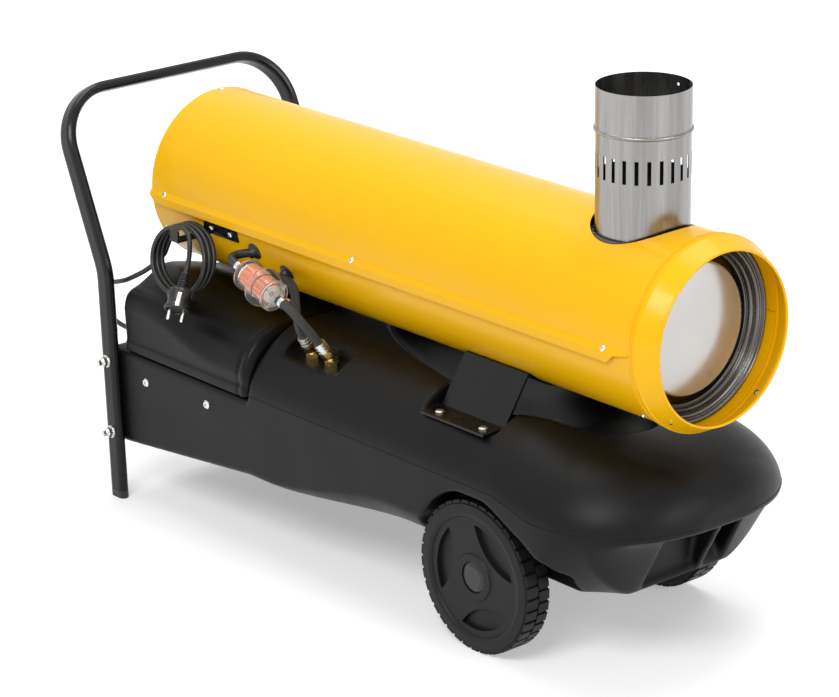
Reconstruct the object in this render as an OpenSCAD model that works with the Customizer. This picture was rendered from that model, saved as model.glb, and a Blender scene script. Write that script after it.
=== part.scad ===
// Indirect fired space heater on wheels: a round casing with a fan, a burner and a heat
// exchanger lies on a moulded fuel tank that carries two wheels and a tubular handle.
// X points to the hot-air outlet and Z up. The origin is on the floor, in the middle of
// the heater's length and width.

/* [Casing] */
// Outside diameter of the round casing
casing_d = 246; // [236:1:256]
// Length of the casing without its outlet nose
casing_l = 972; // [950:1:1010]
// Height of the casing's axis above the floor
axis_h = 448; // [446:1:460]
// Thickness of the casing's sheet metal
sheet_t = 1.5; // [1:0.1:2]
// Height of the flap that hangs from the upper shell's ledge
lap_h = 11; // [8:1:14]
// Length of the outlet nose in front of the casing
nose_l = 30; // [24:1:40]
// Inside diameter of the nose's front rim
nose_rim_d = 222; // [210:1:226]
// Radius of a casing screw's shank
screw_r = 2; // [1.5:0.1:2.5]

/* [Flue] */
// Outside diameter of the flue pipe
flue_d = 120; // [110:1:126]
// Height of the flue pipe's top edge above the casing's axis
flue_rise = 293; // [270:1:320]
// Distance from the flue's axis to the casing's front end
flue_back = 113; // [105:1:135]
// Thickness of the flue pipe's sheet
flue_t = 0.8; // [0.6:0.1:1.2]
// Length of the spigot above the flue's bead
spigot_l = 54; // [40:1:60]
// Number of draught slots round the flue
slots = 24; // [16:1:30]
// Width of one draught slot
slot_w = 5; // [4:0.5:7]
// Height of one draught slot
slot_h = 30; // [20:1:34]

/* [Heat exchanger] */
// Outside diameter of the combustion drum
drum_d = 172; // [160:1:180]
// Wall of the combustion drum
drum_t = 2; // [1.5:0.1:3]
// Setback of the drum's front face from the casing's front end
drum_back = 24; // [18:1:40]
// Outside diameter of the burner's blast tube
blast_d = 100; // [90:1:104]

/* [Fan and motor] */
// Diameter of the fan
fan_d = 224; // [200:1:226]
// Number of fan blades
blades = 5; // [4:1:7]
// Diameter of the motor's body
motor_d = 116; // [100:1:124]
// Length of the motor's body
motor_l = 120; // [100:1:130]
// Diameter of the motor's shaft
shaft_d = 12; // [10:1:14]

/* [Fuel tank] */
// Width of the tank
tank_w = 380; // [376:1:392]
// Wall of the tank
tank_wall = 5; // [4:0.5:6]
// Reach of the tank's front in front of the casing
tank_over = 39; // [34:1:44]
// Gap between the tank's crest and the casing
tank_gap = 5; // [4:1:7]
// Height of the tank's flat deck under the control box
deck_h = 224; // [214:1:232]
// Height of the tank's underside
belly_h = 112; // [111:1:120]
// Height of the mould line along the tank's sides
seam_h = 231; // [226:1:236]

/* [Wheels] */
// Diameter of a wheel
wheel_d = 205; // [196:1:208]
// Width of a wheel
wheel_w = 42; // [34:1:46]
// Distance between the wheels' outer faces
track_w = 362; // [356:1:372]
// Distance from the axle to the casing's front end
axle_back = 232; // [225:1:240]
// Diameter of the axle
axle_d = 12; // [10:1:14]
// Radial clearance of a wheel on the axle
axle_gap = 0.05; // [0.03:0.01:0.09]
// Number of lugs round one row of the tread
lugs = 38; // [30:1:44]
// Height of the lugs
lug_h = 3; // [2:0.5:5]

/* [Handle] */
// Long side of the handle's flat oval tube
tube_w = 30; // [26:1:34]
// Short side of the handle's flat oval tube
tube_t = 15; // [13:1:16]
// Wall of the handle's tube
tube_wall = 1.5; // [1.2:0.1:2]
// Height of the handle's top bar
handle_h = 572; // [560:1:600]
// Height of the bend in the handle's legs
knee_h = 338; // [330:1:346]
// Backward lean of the handle below the bend, in degrees
low_lean = 2; // [1:0.5:3]
// Backward lean of the handle above the bend, in degrees
top_lean = 23.5; // [20:0.5:27]
// Radius of the handle's upper corners
corner_r = 79; // [60:1:90]
// Gap between the casing's rear end and the foot of the handle
leg_back = 5; // [3:1:8]

/* [Control box] */
// Length of the control box cover
cover_l = 282; // [270:1:296]
// Wall of the control box cover
cover_t = 3; // [2.5:0.5:4]

/* [Fuel filter] */
// Diameter of the clear filter bowl
filter_d = 40; // [34:1:42]
// Diameter of the fuel hoses
hose_d = 12; // [10:0.5:13]

/* [Mains cord] */
// Diameter of the mains cord
cord_d = 7; // [6:0.5:7]

/* [Hidden] */
$fn = 64;

// small distances used all over
seat = 0.3;
hole_gap = 0.15;

// places along X, from the origin
foot_x = -casing_l/2 - leg_back;
knee_dx = knee_h*tan(low_lean);
top_dx = (handle_h - knee_h)*tan(top_lean);
tube_reach = tube_t/2 + (tube_w - tube_t)/2*cos(top_lean);
rear_reach = -(foot_x - knee_dx - top_dx - tube_reach);
front_reach = casing_l/2 + tank_over;
mid = (rear_reach - front_reach)/2;
x_rear = mid - casing_l/2;
x_front = mid + casing_l/2;
x_foot = mid + foot_x;
x_flue = x_front - flue_back;
x_axle = x_front - axle_back;
casing_r = casing_d/2;
inner_r = casing_r - sheet_t;

// the tank's own stations
tank_x0 = x_rear - 22;
tank_top = axis_h - casing_r - tank_gap;
handle_w = tank_w + tube_t + 1;
tank_tip = x_front + tank_over;
bow_l = 165;
bow_x = tank_tip - 0.985*bow_l;
step_x = x_rear + 8 + cover_l;
arch_r = wheel_d/2 + 13.5;
arch_y = track_w/2 - wheel_w - 11;
axle_z = wheel_d/2;
side_y = tank_w/2;
nose_seam = seam_h - 17;
lip_x = tank_tip - 80;
recess_x = tank_tip - 35;
recess_top = nose_seam - 21;

// the casing's brackets
pad_y0 = side_y - 86;
pad_y1 = side_y - 15;
bracket_screw_y = pad_y1 - 27;
pad_h = tank_top - 30;
bracket_t = 3;
bracket_l = 120;
bracket_x = x_axle - 118;
rear_bracket_l = 60;
rear_bracket_x = x_rear + 150;
rear_bracket_y = 58;

// screws and bolts
bolt_r = 4;
bolt_z = [100, 206];
tank_screws = [[60, 188.7], [201, 193.9]];

// fittings of the fuel line, on the tank's top
fit_x = [x_rear + 362.5, x_rear + 402.5];
fit_y = 61 - side_y;
fit_r = 10;
strainer_r = 21;
filler_x = x_rear + 500;
filler_y = side_y - 54;
neck_r = 26;
drain_x = x_rear + 400;
drain_r = 9;

function clamp(v, a, b) = min(max(v, a), b);
function ease(v, a, b) = let (t = clamp((v - a)/(b - a), 0, 1)) t*t*(3 - 2*t);
function mix(a, b, t) = a + (b - a)*t;
function bow(x) = clamp((x - bow_x)/bow_l, 0, 1);
function round_off(t) = pow(1 - pow(t, 2.3), 0.42);

// the tank's section at x, drawn in by d all round for the cavity
function t_step(x) = ease(x, step_x + 1, step_x + 5);
function t_half(x, d) = side_y*round_off(bow(x + d)) - d;
function t_nose(x) = ease(x, x_axle + 34, x_axle + 131);
function t_seam(x, d) = mix(mix(deck_h - 8, seam_h, t_step(x - d)), nose_seam, t_nose(x));
function t_low(x) = mix(belly_h - 30, belly_h, clamp((x - x_rear)/286, 0, 1));
function t_lip(x) = x < lip_x ? 0 : x < recess_x
    ? (recess_top - belly_h)*(x - lip_x)/(recess_x - lip_x)
    : mix(recess_top - belly_h, nose_seam - 8 - belly_h, ease(x, recess_x, tank_tip));
function t_waist(x) = ease(x, x_rear + 320, x_rear + 596)*(1 - ease(x, x_axle - 40, x_axle + 60));
function t_bottom(x, d) = t_low(x) + t_lip(x + 1.5*d) + d;
function t_keel(x) = ease(x, x_axle + 60, x_axle + 190);
function t_edge(x, d) = min(mix(t_low(x) + t_lip(x) + 8 + 44*t_waist(x), nose_seam - 6, t_keel(x)),
    t_seam(x, d) - 4);
function t_rise(x, d) = mix(8, tank_top - seam_h - 8*ease(x, x_axle - 104, x_axle + 6),
    t_step(x - d))*round_off(clamp((x + d - bow_x - 8)/(bow_l - 8), 0, 1));
function t_inset(x, d) = min(mix(8, 97, t_step(x - d)), side_y*round_off(bow(x))*0.7);
function t_under(x) = min(mix(8, 75, t_waist(x)) + 82*t_keel(x), side_y*round_off(bow(x))*0.7);

// height of the tank's crown at x and y, without the hollow under the casing
function t_crown(x, y, d) = let (c = clamp(1 - (t_half(x, d) - y)/t_inset(x, d), 0, 1))
    t_seam(x, d) + t_rise(x, d)*pow(1 - pow(c, 1.667), 0.6) - d;

// the hollow in the tank's top under the casing
trough_x = x_axle - 54;
trough_front = 185;
trough_rear = 310;
trough_w = 112;
trough_depth = 38;
function trough_t(x) = x > trough_x ? (x - trough_x)/trough_front : (trough_x - x)/trough_rear;
function trough_p(x) = x > trough_x ? 2 : 1.5;
function trough_y(x) = trough_t(x) < 1
    ? max(8, trough_w*pow(1 - pow(trough_t(x), trough_p(x)), 1/trough_p(x))) : 8;
function trough_z(x) = trough_t(x) < 1 ? trough_depth*sqrt(1 - pow(trough_t(x), 2)) : 0;

// one ring of the tank's skin at x: belly, edge, side, crown and hollow, then mirrored
function half_ring(x, d) = let (
    under_n = d > 0 ? 2 : 4, crown_n = d > 0 ? 5 : 9, dish_n = d > 0 ? 3 : 6,
    w = t_half(x, d), zb = t_bottom(x, d), ze = max(t_edge(x, d), zb + 1),
    il = t_under(x), yr = min(trough_y(x), w*0.6)) concat(
    [[0, zb]],
    [for (i = [0 : under_n]) let (a = 90 - 90*i/under_n)
        [w - il*(1 - pow(cos(a), 1.4)), ze - (ze - zb)*pow(sin(a), 1.4)]],
    [for (i = [0 : crown_n]) let (y = w - (w - yr)*(1 - pow(cos(90*i/crown_n), 1.4)))
        [y, i == 0 ? t_seam(x, d) : t_crown(x, y, d)]],
    [for (i = [1 : dish_n]) let (s = 1 - i/dish_n, y = yr*s)
        [y, t_crown(x, y, d) - trough_z(x)*(1 - pow(s, 4))]]);
function full_ring(x, d) = let (h = half_ring(x, d), n = len(h)) concat(
    [for (p = h) [x, p[0], p[1]]],
    [for (i = [n - 2 : -1 : 1]) [x, -h[i][0], h[i][1]]]);
function front_steps(n, x0, x1) = [for (i = [1 : n]) x0 + (x1 - x0)*sin(90*i/n)];
tank_stations = concat(
    [tank_x0, x_rear, x_rear + 143],
    [for (i = [0 : 4]) step_x + 1 + i],
    [for (i = [1 : 12]) step_x + 5 + (bow_x - step_x - 5)*i/12],
    front_steps(12, bow_x, tank_tip));
cavity_stations = concat(
    [x_rear + 14, x_rear + 143, step_x + 1 + tank_wall, step_x + 5 + tank_wall],
    [for (i = [1 : 8]) step_x + 5 + tank_wall + (bow_x - step_x - 5 - tank_wall)*i/8],
    [for (k = [0.3, 0.5, 0.62]) bow_x + bow_l*k]);

// triangles between equal rings, with flat ends
function skin_faces(rings, n) = concat(
    [for (i = [0 : rings - 2]) for (j = [0 : n - 1]) let (k = (j + 1) % n)
        [i*n + j, (i + 1)*n + j, i*n + k]],
    [for (i = [0 : rings - 2]) for (j = [0 : n - 1]) let (k = (j + 1) % n)
        [i*n + k, (i + 1)*n + j, (i + 1)*n + k]]);
function end_faces(rings, n) = [[for (j = [0 : n - 1]) j],
    [for (j = [n - 1 : -1 : 0]) (rings - 1)*n + j]];
module loft(rings) {
    n = len(rings[0]);
    points = [for (r = rings) for (p = r) p];
    polyhedron(points, concat(skin_faces(len(rings), n), end_faces(len(rings), n)));
}

// a round tube swept along points, with its sides kept from turning
function unit(v) = v/norm(v);
function bend(a, u, b, v, n) = [for (i = [0 : n]) let (t = i/n, s = 1 - t)
    a*s*s*(1 + 2*t) + u*t*s*s + b*t*t*(3 - 2*t) - v*t*t*s];
function tangent(p, i) = unit(p[min(i + 1, len(p) - 1)] - p[max(i - 1, 0)]);
function side_of(v, t) = unit(v - t*(v*t));
function spline(p, m) = concat([for (i = [0 : len(p) - 2]) for (k = [0 : m - 1]) let (
    a = p[max(i - 1, 0)], b = p[i], c = p[i + 1], d = p[min(i + 2, len(p) - 1)], t = k/m)
    0.5*(2*b + (c - a)*t + (2*a - 5*b + 4*c - d)*t*t + (3*b - a - 3*c + d)*t*t*t)],
    [p[len(p) - 1]]);
function tube_rings(p, r, sides, start) = let (
    frames = [for (i = 0, s = side_of(start, tangent(p, 0)); i < len(p);
        i = i + 1, s = i < len(p) ? side_of(s, tangent(p, i)) : s) s])
    [for (i = [0 : len(p) - 1]) let (t = tangent(p, i), s = frames[i], u = cross(t, s))
        [for (k = [0 : sides - 1]) p[i] + r*(s*cos(360*k/sides) + u*sin(360*k/sides))]];
module swept(p, d, sides = 10, start = [0, 0, 1]) {
    loft(tube_rings(p, d/2, sides, start));
}

// a place on the casing: at x, turned by a from the top towards the near side, out by r
module on_casing(x, a, r = 0) {
    translate([x, 0, axis_h]) rotate([a, 0, 0]) translate([0, 0, casing_r + r]) children();
}
module on_axis(x) {
    translate([x, 0, axis_h]) rotate([0, 90, 0]) children();
}
module along(a, b) {
    d = b - a;
    translate(a) rotate([0, acos(d[2]/norm(d)), atan2(d[1], d[0])]) children();
}
module tube(r, t, l) {
    difference() {
        cylinder(r = r, h = l);
        translate([0, 0, -1]) cylinder(r = r - t, h = l + 2);
    }
}

// the upper shell's ledge: it slants out at the joint and ends in a hanging flap
lap_out = 5;
lap_drop = 8.5;
lap_x = x_front - 33;
lap_end = x_front - 11;
lap_top = [casing_r - 0.1, 1.5];
lap_knee = lap_top + [lap_out, -lap_drop];
lap_skin = sheet_t*0.8;
function lap_section(out, drop) = let (a = lap_top, b = a + [out, -drop])
    [a + [-1, -0.3], b + [-lap_skin, 0.25], b, a];

// the casing's screws: place along X and angle from the top; the ledge's screws: place along X
casing_holes = concat(
    [for (s = [-1, 1]) [x_rear + 18, s*117]],
    [for (s = [-1, 1]) [x_rear + 85, s*109.6]],
    [for (s = [-1, 1]) [x_front - 31, s*142]],
    [[x_rear + 8, 0]]);
ledge_x = [x_rear + 32, x_front - 529, x_front - 53];
module ledge_place(x, s) {
    m = (lap_top + lap_knee)/2;
    translate([x, s*m[0], axis_h + m[1]]) rotate([-s*atan(lap_drop/lap_out), 0, 0]) children();
}
hook_x = [x_rear + 135, x_rear + 177];
hook_a = 103.5;
elbow_x = x_rear + 223;
elbow_a = 110.6;
return_x = x_rear + 282;
return_a = 120;
module casing_cuts() {
    for (h = casing_holes)
        on_casing(h[0], h[1], -10) cylinder(r = screw_r + hole_gap, h = 20, $fn = 24);
    for (x = ledge_x, s = [-1, 1]) ledge_place(x, s)
        cylinder(r = screw_r + hole_gap, h = 20, $fn = 24, center = true);
}

// a ring sector round the casing's axis, from x0 to x1 and from angle a0 to a1 as above
module sector(r0, r1, x0, x1, a0, a1) {
    on_axis(x0) rotate([0, 0, 180 + a0]) rotate_extrude(angle = a1 - a0, $fn = 96)
        translate([r0, 0]) square([r1 - r0, x1 - x0]);
}
module turned(x) {
    on_axis(x) rotate_extrude($fn = 96) children();
}

module ledge() {
    rings = [[x_rear, lap_section(lap_out, lap_drop)], [lap_x, lap_section(lap_out, lap_drop)],
        [lap_end, lap_section(2.4, 4.5)]];
    y1 = lap_knee[0];
    z1 = lap_knee[1] + 0.25;
    translate([0, 0, axis_h]) {
        loft([for (r = rings) [for (q = r[1]) [r[0], q[0], q[1]]]]);
        side_on(y1 - lap_skin, y1) polygon([[x_rear, z1], [x_rear + lap_h, z1 - lap_h],
            [lap_x - lap_h, z1 - lap_h], [lap_x, z1]]);
    }
}
module upper_shell() {
    color("gold") difference() {
        union() {
            sector(inner_r, casing_r, x_rear, x_front, -90, 90);
            ledge();
            mirror([0, 1, 0]) ledge();
        }
        translate([x_flue, 0, axis_h]) cylinder(r = flue_d/2 + 5, h = casing_r + 10);
        casing_cuts();
    }
}
module lower_shell() {
    color("gold") difference() {
        sector(inner_r, casing_r, x_rear, x_front, 90.6, 269.4);
        casing_cuts();
        for (x = hook_x) on_casing(x, hook_a, -10) cylinder(r = screw_r + hole_gap, h = 20, $fn = 24);
        on_casing(elbow_x, elbow_a, -10) cylinder(r = hose_d/2 + 1, h = 20);
        on_casing(return_x, return_a, -10) cylinder(r = hose_d/2 + 1, h = 20);
    }
}
nose_slope = atan((casing_r + seat - nose_rim_d/2)/(nose_l - 4.5));
module nose_place(s) {
    on_casing(x_front + 15, s*140.6, seat - 10.5*tan(nose_slope) - 0.12)
        rotate([0, nose_slope, 0]) children();
}
module outlet_nose() {
    r0 = casing_r + seat;
    r1 = nose_rim_d/2;
    color("gold") difference() {
        union() {
            turned(x_front) polygon([[r0, -10], [r0 + sheet_t, -10], [r0 + sheet_t, 0],
                [r0 + sheet_t + 1.5, 1], [r0 + sheet_t + 1.5, 3], [r0 + sheet_t, 4.5],
                [r1 + sheet_t, nose_l], [r1, nose_l], [r0, 4.5]]);
            turned(x_front) translate([r1 + 0.6, nose_l - 1]) circle(r = 1.8, $fn = 16);
        }
        for (s = [-1, 1]) nose_place(s)
            cylinder(r = screw_r + hole_gap, h = 20, center = true, $fn = 24);
    }
}
module outlet_ring() {
    r1 = inner_r - seat;
    r0 = drum_d/2 + 12;
    front = [[r1, -40], [r1, -16], [r1 - 2, -14], [r1 - 7, -19], [r1 - 9, -17.5],
        [r1 - 13, -22], [r1 - 15, -20.5], [r0 + 3, -29], [r0, -30], [r0, -42]];
    back = [[r0 + 1.5, -42], [r0 + 1.5, -31.4], [r0 + 3.5, -30.8], [r1 - 14.6, -22.4],
        [r1 - 12.8, -24], [r1 - 8.8, -19.4], [r1 - 7, -21], [r1 - 2.3, -16.4],
        [r1 - 1.6, -17.2], [r1 - 1.6, -40]];
    color("dimgray") difference() {
        turned(x_front) polygon(concat(front, back));
        casing_cuts();
    }
}
drum_x1 = x_front - drum_back;
drum_l = 600;
drum_x0 = drum_x1 - drum_l;
drum_r = drum_d/2;
flue_low_r = flue_d/2 - 0.7;
stub_r = flue_low_r - flue_t - seat;
collar_z = axis_h + 100;
module drum_outline(r, c, f) {
    polygon(concat([[0, 0], [r, 0]],
        [for (a = [0 : 15 : 90]) [r - c + c*cos(a), drum_l - f - c + c*sin(a)]],
        [[(r - c)*0.6, drum_l - f + 2], [0, drum_l - f + 3]]));
}
module heat_exchanger() {
    color("gainsboro") difference() {
        union() {
            turned(drum_x0) drum_outline(drum_r, 16, 3);
            translate([x_flue, 0, axis_h]) cylinder(r = stub_r, h = 125);
            translate([x_flue, 0, collar_z - 1.5]) cylinder(r = flue_d/2 + 3, h = 1.5);
        }
        turned(drum_x0 + drum_t) drum_outline(drum_r - drum_t, 15, 3 + 2*drum_t);
        translate([x_flue, 0, axis_h]) cylinder(r = stub_r - 1.5, h = 130);
        on_axis(drum_x0 - 1) cylinder(r = blast_d/2 + seat, h = 10);
    }
}
module drum_supports() {
    color("dimgray") for (x = [drum_x0 + 60, drum_x0 + 340], a = [60, 180, 300])
        difference() {
            on_casing(x, a, -sheet_t - seat - 40) translate([-15, -1.5, 0]) cube([30, 3, 39.5]);
            on_axis(x - 20) cylinder(r = drum_r + 0.1, h = 40);
            difference() {
                on_axis(x - 20) cylinder(r = casing_r + 20, h = 40);
                on_axis(x - 21) cylinder(r = inner_r - 0.1, h = 42);
            }
        }
}
flue_top = axis_h + flue_rise;
flue_l = flue_top - collar_z;
module flue_pipe() {
    r = flue_d/2;
    slot_z = flue_l - 82 - slot_h;
    color("silver") translate([x_flue, 0, collar_z]) difference() {
        union() {
            tube(flue_low_r, flue_t, flue_l - spigot_l + 1);
            translate([0, 0, flue_l - spigot_l]) tube(r, flue_t, spigot_l);
            rotate_extrude() translate([r - flue_t, flue_l - spigot_l])
                intersection() {
                    circle(r = 2.8, $fn = 24);
                    translate([0, -3]) square([4, 6]);
                }
        }
        for (i = [0 : slots/2 - 1]) rotate([0, 0, 360*(i + 0.5)/slots])
            translate([-r - 5, -slot_w/2, slot_z]) cube([2*r + 10, slot_w, slot_h]);
        translate([0, r + 1, flue_l - 11]) rotate([90, 0, 0]) cylinder(r = 2, h = 4, $fn = 20);
    }
}
module fan_guard() {
    g = 3;
    color("dimgray") union() {
        for (r = [16, 40, 64, 88, 112]) on_axis(x_rear + 1) tube(r + g/2, g, g);
        on_axis(x_rear + 1) cylinder(r = 16, h = g);
        for (a = [0, 45, 90, 135]) translate([x_rear + 2.5, 0, axis_h]) rotate([a, 0, 0])
            translate([-g/2, -g/2, -inner_r + 3]) cube([g, g, 2*inner_r - 6]);
        on_axis(x_rear + 0.5) tube(inner_r - seat, 4, 5);
    }
}

// the motor group, from the casing's rear end
fan_x = x_rear + 44;
motor_x = x_rear + 74;
plate_x = motor_x + motor_l;
pump_x = plate_x + 20;
module fan() {
    color("silver") difference() {
        union() {
            on_axis(fan_x - 16) cylinder(r = 24, h = 32);
            for (i = [0 : blades - 1]) translate([fan_x, 0, axis_h]) rotate([360*i/blades, 0, 0])
                translate([0, 0, 18]) rotate([0, 0, 38]) translate([-1, -28, 0])
                cube([2, 56, fan_d/2 - 24]);
        }
        on_axis(fan_x - 40) cylinder(r = shaft_d/2 + 0.02, h = 80);
    }
}
module motor_shaft() {
    color("silver") on_axis(fan_x - 22) cylinder(r = shaft_d/2, h = plate_x + 8 - fan_x + 22);
}
module motor() {
    color("dimgray") difference() {
        union() {
            on_axis(motor_x) cylinder(r = motor_d/2 - 6, h = motor_l);
            on_axis(motor_x + 12) cylinder(r = motor_d/2, h = motor_l - 24);
            on_axis(plate_x - 1) cylinder(r = 30, h = 21);
            translate([motor_x + 40, -22, axis_h + motor_d/2 - 8]) cube([50, 44, 22]);
        }
        on_axis(motor_x - 1) cylinder(r = shaft_d/2 + 0.05, h = motor_l + 30);
        on_axis(plate_x + 2) cylinder(r = 15, h = 30);
    }
}
module motor_bracket() {
    color("dimgray") union() {
        difference() {
            on_axis(plate_x + 0.02) cylinder(r = 70, h = 2.5);
            on_axis(plate_x - 1) cylinder(r = 30.1, h = 6);
        }
        for (a = [60, 180, 300]) {
            on_casing(plate_x + 0.02, a, -casing_r + 60) translate([0, -15, 0])
                cube([2.5, 30, inner_r - 61.5]);
            sector(inner_r - 2.8, inner_r - seat, plate_x + 0.02, plate_x + 22,
                a - 8, a + 8);
        }
    }
}
module fuel_pump() {
    color("silver") difference() {
        union() {
            on_axis(pump_x + 0.02) cylinder(r = 30, h = 6);
            on_axis(pump_x + 5) cylinder(r = 24, h = 40);
            translate([pump_x + 14, -14, axis_h + 15]) cube([24, 28, 15]);
        }
        on_axis(pump_x - 1) cylinder(r = 5.05, h = 26);
    }
}
module pump_coupling() {
    color("black") union() {
        difference() {
            on_axis(plate_x + 4) cylinder(r = 11, h = 15);
            on_axis(plate_x + 3) cylinder(r = shaft_d/2 + 0.02, h = 6.5);
        }
        on_axis(plate_x + 18) cylinder(r = 5, h = 18);
    }
}
module solenoid_valve() {
    color("black") union() {
        translate([pump_x + 26, 0, axis_h + 30.02]) cylinder(r = 5, h = 10);
        translate([pump_x + 12, -13, axis_h + 38]) cube([28, 26, 32]);
    }
}
pipe_pts = [[pump_x + 30, -24.05, axis_h], [pump_x + 30, -34, axis_h], [pump_x + 38, -42, axis_h],
    [pump_x + 58, -44, axis_h], [pump_x + 74, -34, axis_h], [pump_x + 86, -14, axis_h],
    [pump_x + 94, -4, axis_h], [pump_x + 104, 0, axis_h], [pump_x + 114, 0, axis_h]];
module nozzle_pipe() {
    color("peru") swept(spline(pipe_pts, 3), 6, 10);
}
module blast_tube() {
    color("silver") union() {
        on_axis(drum_x0 - 70) tube(blast_d/2, 2, 110);
        on_axis(drum_x0 - 3) tube(blast_d/2 + 14, 14.5, 2.98);
    }
}
holder_x = pump_x + 114.02;
module nozzle_holder() {
    color("tan") union() {
        on_axis(holder_x) cylinder(r = 9, h = drum_x0 + 22 - holder_x);
        on_axis(drum_x0 + 14) cylinder(r = 12, h = 12, $fn = 6);
        difference() {
            on_axis(drum_x0 - 12) cylinder(r = blast_d/2 - 2 - 0.05, h = 3);
            for (s = [-1, 1]) {
                translate([drum_x0 - 20, s*16, axis_h + 20]) rotate([0, 90, 0])
                    cylinder(r = 4.52, h = 30);
                for (z = [-6, -30]) translate([drum_x0 - 20, s*30, axis_h + z])
                    rotate([0, 90, 0]) cylinder(r = 9, h = 30);
            }
        }
    }
}
module flame_disc() {
    color("silver") difference() {
        on_axis(drum_x0 + 30) cylinder(r = blast_d/2 - 2 - 0.05, h = 2);
        on_axis(drum_x0 + 28) cylinder(r = 14, h = 6);
        for (i = [0 : 7]) translate([drum_x0 + 28, 0, axis_h]) rotate([45*i, 0, 0])
            translate([0, -1.5, 20]) cube([6, 3, 20]);
    }
}
module electrodes() {
    color("white") for (s = [-1, 1]) {
        translate([drum_x0 - 40, s*16, axis_h + 20]) rotate([0, 90, 0])
            cylinder(r = 4.5, h = 60);
        translate([drum_x0 - 44, s*16, axis_h + 20]) rotate([0, 90, 0])
            cylinder(r = 1.2, h = 68);
    }
}
module photocell() {
    color("black") union() {
        translate([drum_x0 - 44.02, 0, axis_h + 36]) rotate([0, 90, 0]) cylinder(r = 7, h = 32);
        translate([drum_x0 - 56, 0, axis_h + 36]) rotate([0, 90, 0]) cylinder(r = 4, h = 20);
    }
}

// the tank's hollows, grown by d for the cavity
arch_profile = arch_r/116*[[-108, -30], [-108, 20], [-98, 52], [-86, 66], [-76, 78], [-68, 88],
    [-51, 101.5], [-31, 111.5], [-12, 114.5], [26, 114.5], [44, 109.5], [63, 100.5], [81, 91.5],
    [100, 82.5], [118, 71.5], [136, 61.5], [147, 50.5], [156, 43.5], [146, 7.5], [140, -30]];
module side_on(y0, y1) {
    translate([0, y1, 0]) rotate([90, 0, 0]) linear_extrude(y1 - y0) children();
}
module tank_hollows(d) {
    for (s = [-1, 1]) {
        y0 = s > 0 ? arch_y - d : -260;
        side_on(y0, y0 + 260 - arch_y + d) translate([x_axle, axle_z]) offset(delta = d)
            polygon(arch_profile);
        p0 = s > 0 ? pad_y0 - d : -pad_y1 - d;
        translate([bracket_x - 6 - d, p0, pad_h - d])
            cube([bracket_l + 12 + 2*d, pad_y1 - pad_y0 + 2*d, 60]);
    }
    translate([fit_x[0] - 37 - d, -pad_y1 - d, pad_h - d])
        cube([115 + 2*d, pad_y1 - 118 + 2*d, 60]);
    translate([filler_x - 42 - d, filler_y - 36 - d, pad_h - d]) cube([84 + 2*d, 80 + 2*d, 60]);
    for (r = [[-70, 27, 0], [36, 70, 34]]) side_on(r[0] - d, r[1] + d) offset(delta = d)
        polygon([[lip_x + 10, belly_h - 8], [lip_x - 8 - r[2]/3, belly_h + 16 + r[2]],
            [lip_x + 4 - r[2], recess_top - 6], [lip_x + 10 - r[2], recess_top],
            [recess_x + 60, recess_top], [recess_x + 60, belly_h - 8]]);
}
module fuel_tank() {
    color("black") difference() {
        union() {
            difference() {
                loft([for (x = tank_stations) full_ring(x, 0)]);
                tank_hollows(0);
                difference() {
                    loft([for (x = cavity_stations) full_ring(x, tank_wall)]);
                    tank_hollows(tank_wall);
                }
            }
            translate([filler_x, filler_y, pad_h - 5]) cylinder(r = neck_r, h = 15);
            translate([drain_x, 0, belly_h + 0.2]) cylinder(r = drain_r + 6, h = 16);
        }
        translate([filler_x, filler_y, pad_h - 30]) cylinder(r = strainer_r + hole_gap, h = 60);
        translate([drain_x, 0, belly_h - 2]) cylinder(r = drain_r + hole_gap, h = 30);
        for (x = fit_x) translate([x, fit_y, pad_h - 20]) cylinder(r = 7 + hole_gap, h = 40);
        for (s = [-1, 1]) {
            for (x = [bracket_x + 21, bracket_x + 104]) translate([x, s*bracket_screw_y, pad_h - 20])
                cylinder(r = 3 + hole_gap, h = 40);
            for (z = bolt_z) translate([leg_x(z), s*side_y, z]) rotate([90, 0, 0])
                cylinder(r = bolt_r + hole_gap, h = 60, center = true);
            for (t = tank_screws) translate([x_rear + t[0], s*side_y, t[1]]) rotate([90, 0, 0])
                cylinder(r = 3 + hole_gap, h = 30, center = true);
            for (x = [rear_bracket_x + 15, rear_bracket_x + rear_bracket_l - 15])
                translate([x, s*(rear_bracket_y + 14), deck_h - 20])
                cylinder(r = 3 + hole_gap, h = 40);
        }
    }
}
function leg_x(z) = x_foot - z*tan(low_lean);
module filler_cap() {
    color("black") translate([filler_x, filler_y, pad_h]) difference() {
        union() {
            translate([0, 0, 2]) cylinder(r = neck_r + 5, h = 16);
            for (i = [0 : 11]) rotate([0, 0, 30*i]) translate([neck_r + 3.6, 0, 2])
                cylinder(r = 3, h = 16, $fn = 20);
            translate([-neck_r, -4, 17.5]) cube([2*neck_r, 8, 8]);
        }
        translate([0, 0, 1]) cylinder(r = neck_r + 0.35, h = 13);
    }
}
module filler_strainer() {
    color("white") translate([filler_x, filler_y, pad_h - 110]) union() {
        difference() {
            cylinder(r = strainer_r - 1, h = 112);
            translate([0, 0, 2]) cylinder(r = strainer_r - 2.5, h = 120);
            for (i = [0 : 5]) rotate([0, 0, 60*i]) translate([10, -4, 14]) cube([20, 8, 70]);
        }
        translate([0, 0, 120.02]) tube(neck_r - 2, 9, 2);
        translate([0, 0, 108]) tube(strainer_r - 1, 3.5, 12.5);
    }
}
module drain_plug() {
    color("silver") translate([drain_x, 0, belly_h - 7]) union() {
        cylinder(r = drain_r + 5, h = 6.98, $fn = 6);
        cylinder(r = drain_r, h = 20);
    }
}
module suction_pipes() {
    color("silver") for (x = fit_x) translate([x, fit_y, belly_h + 30])
        tube(4, 1, pad_h - belly_h - 42.02);
}

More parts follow.
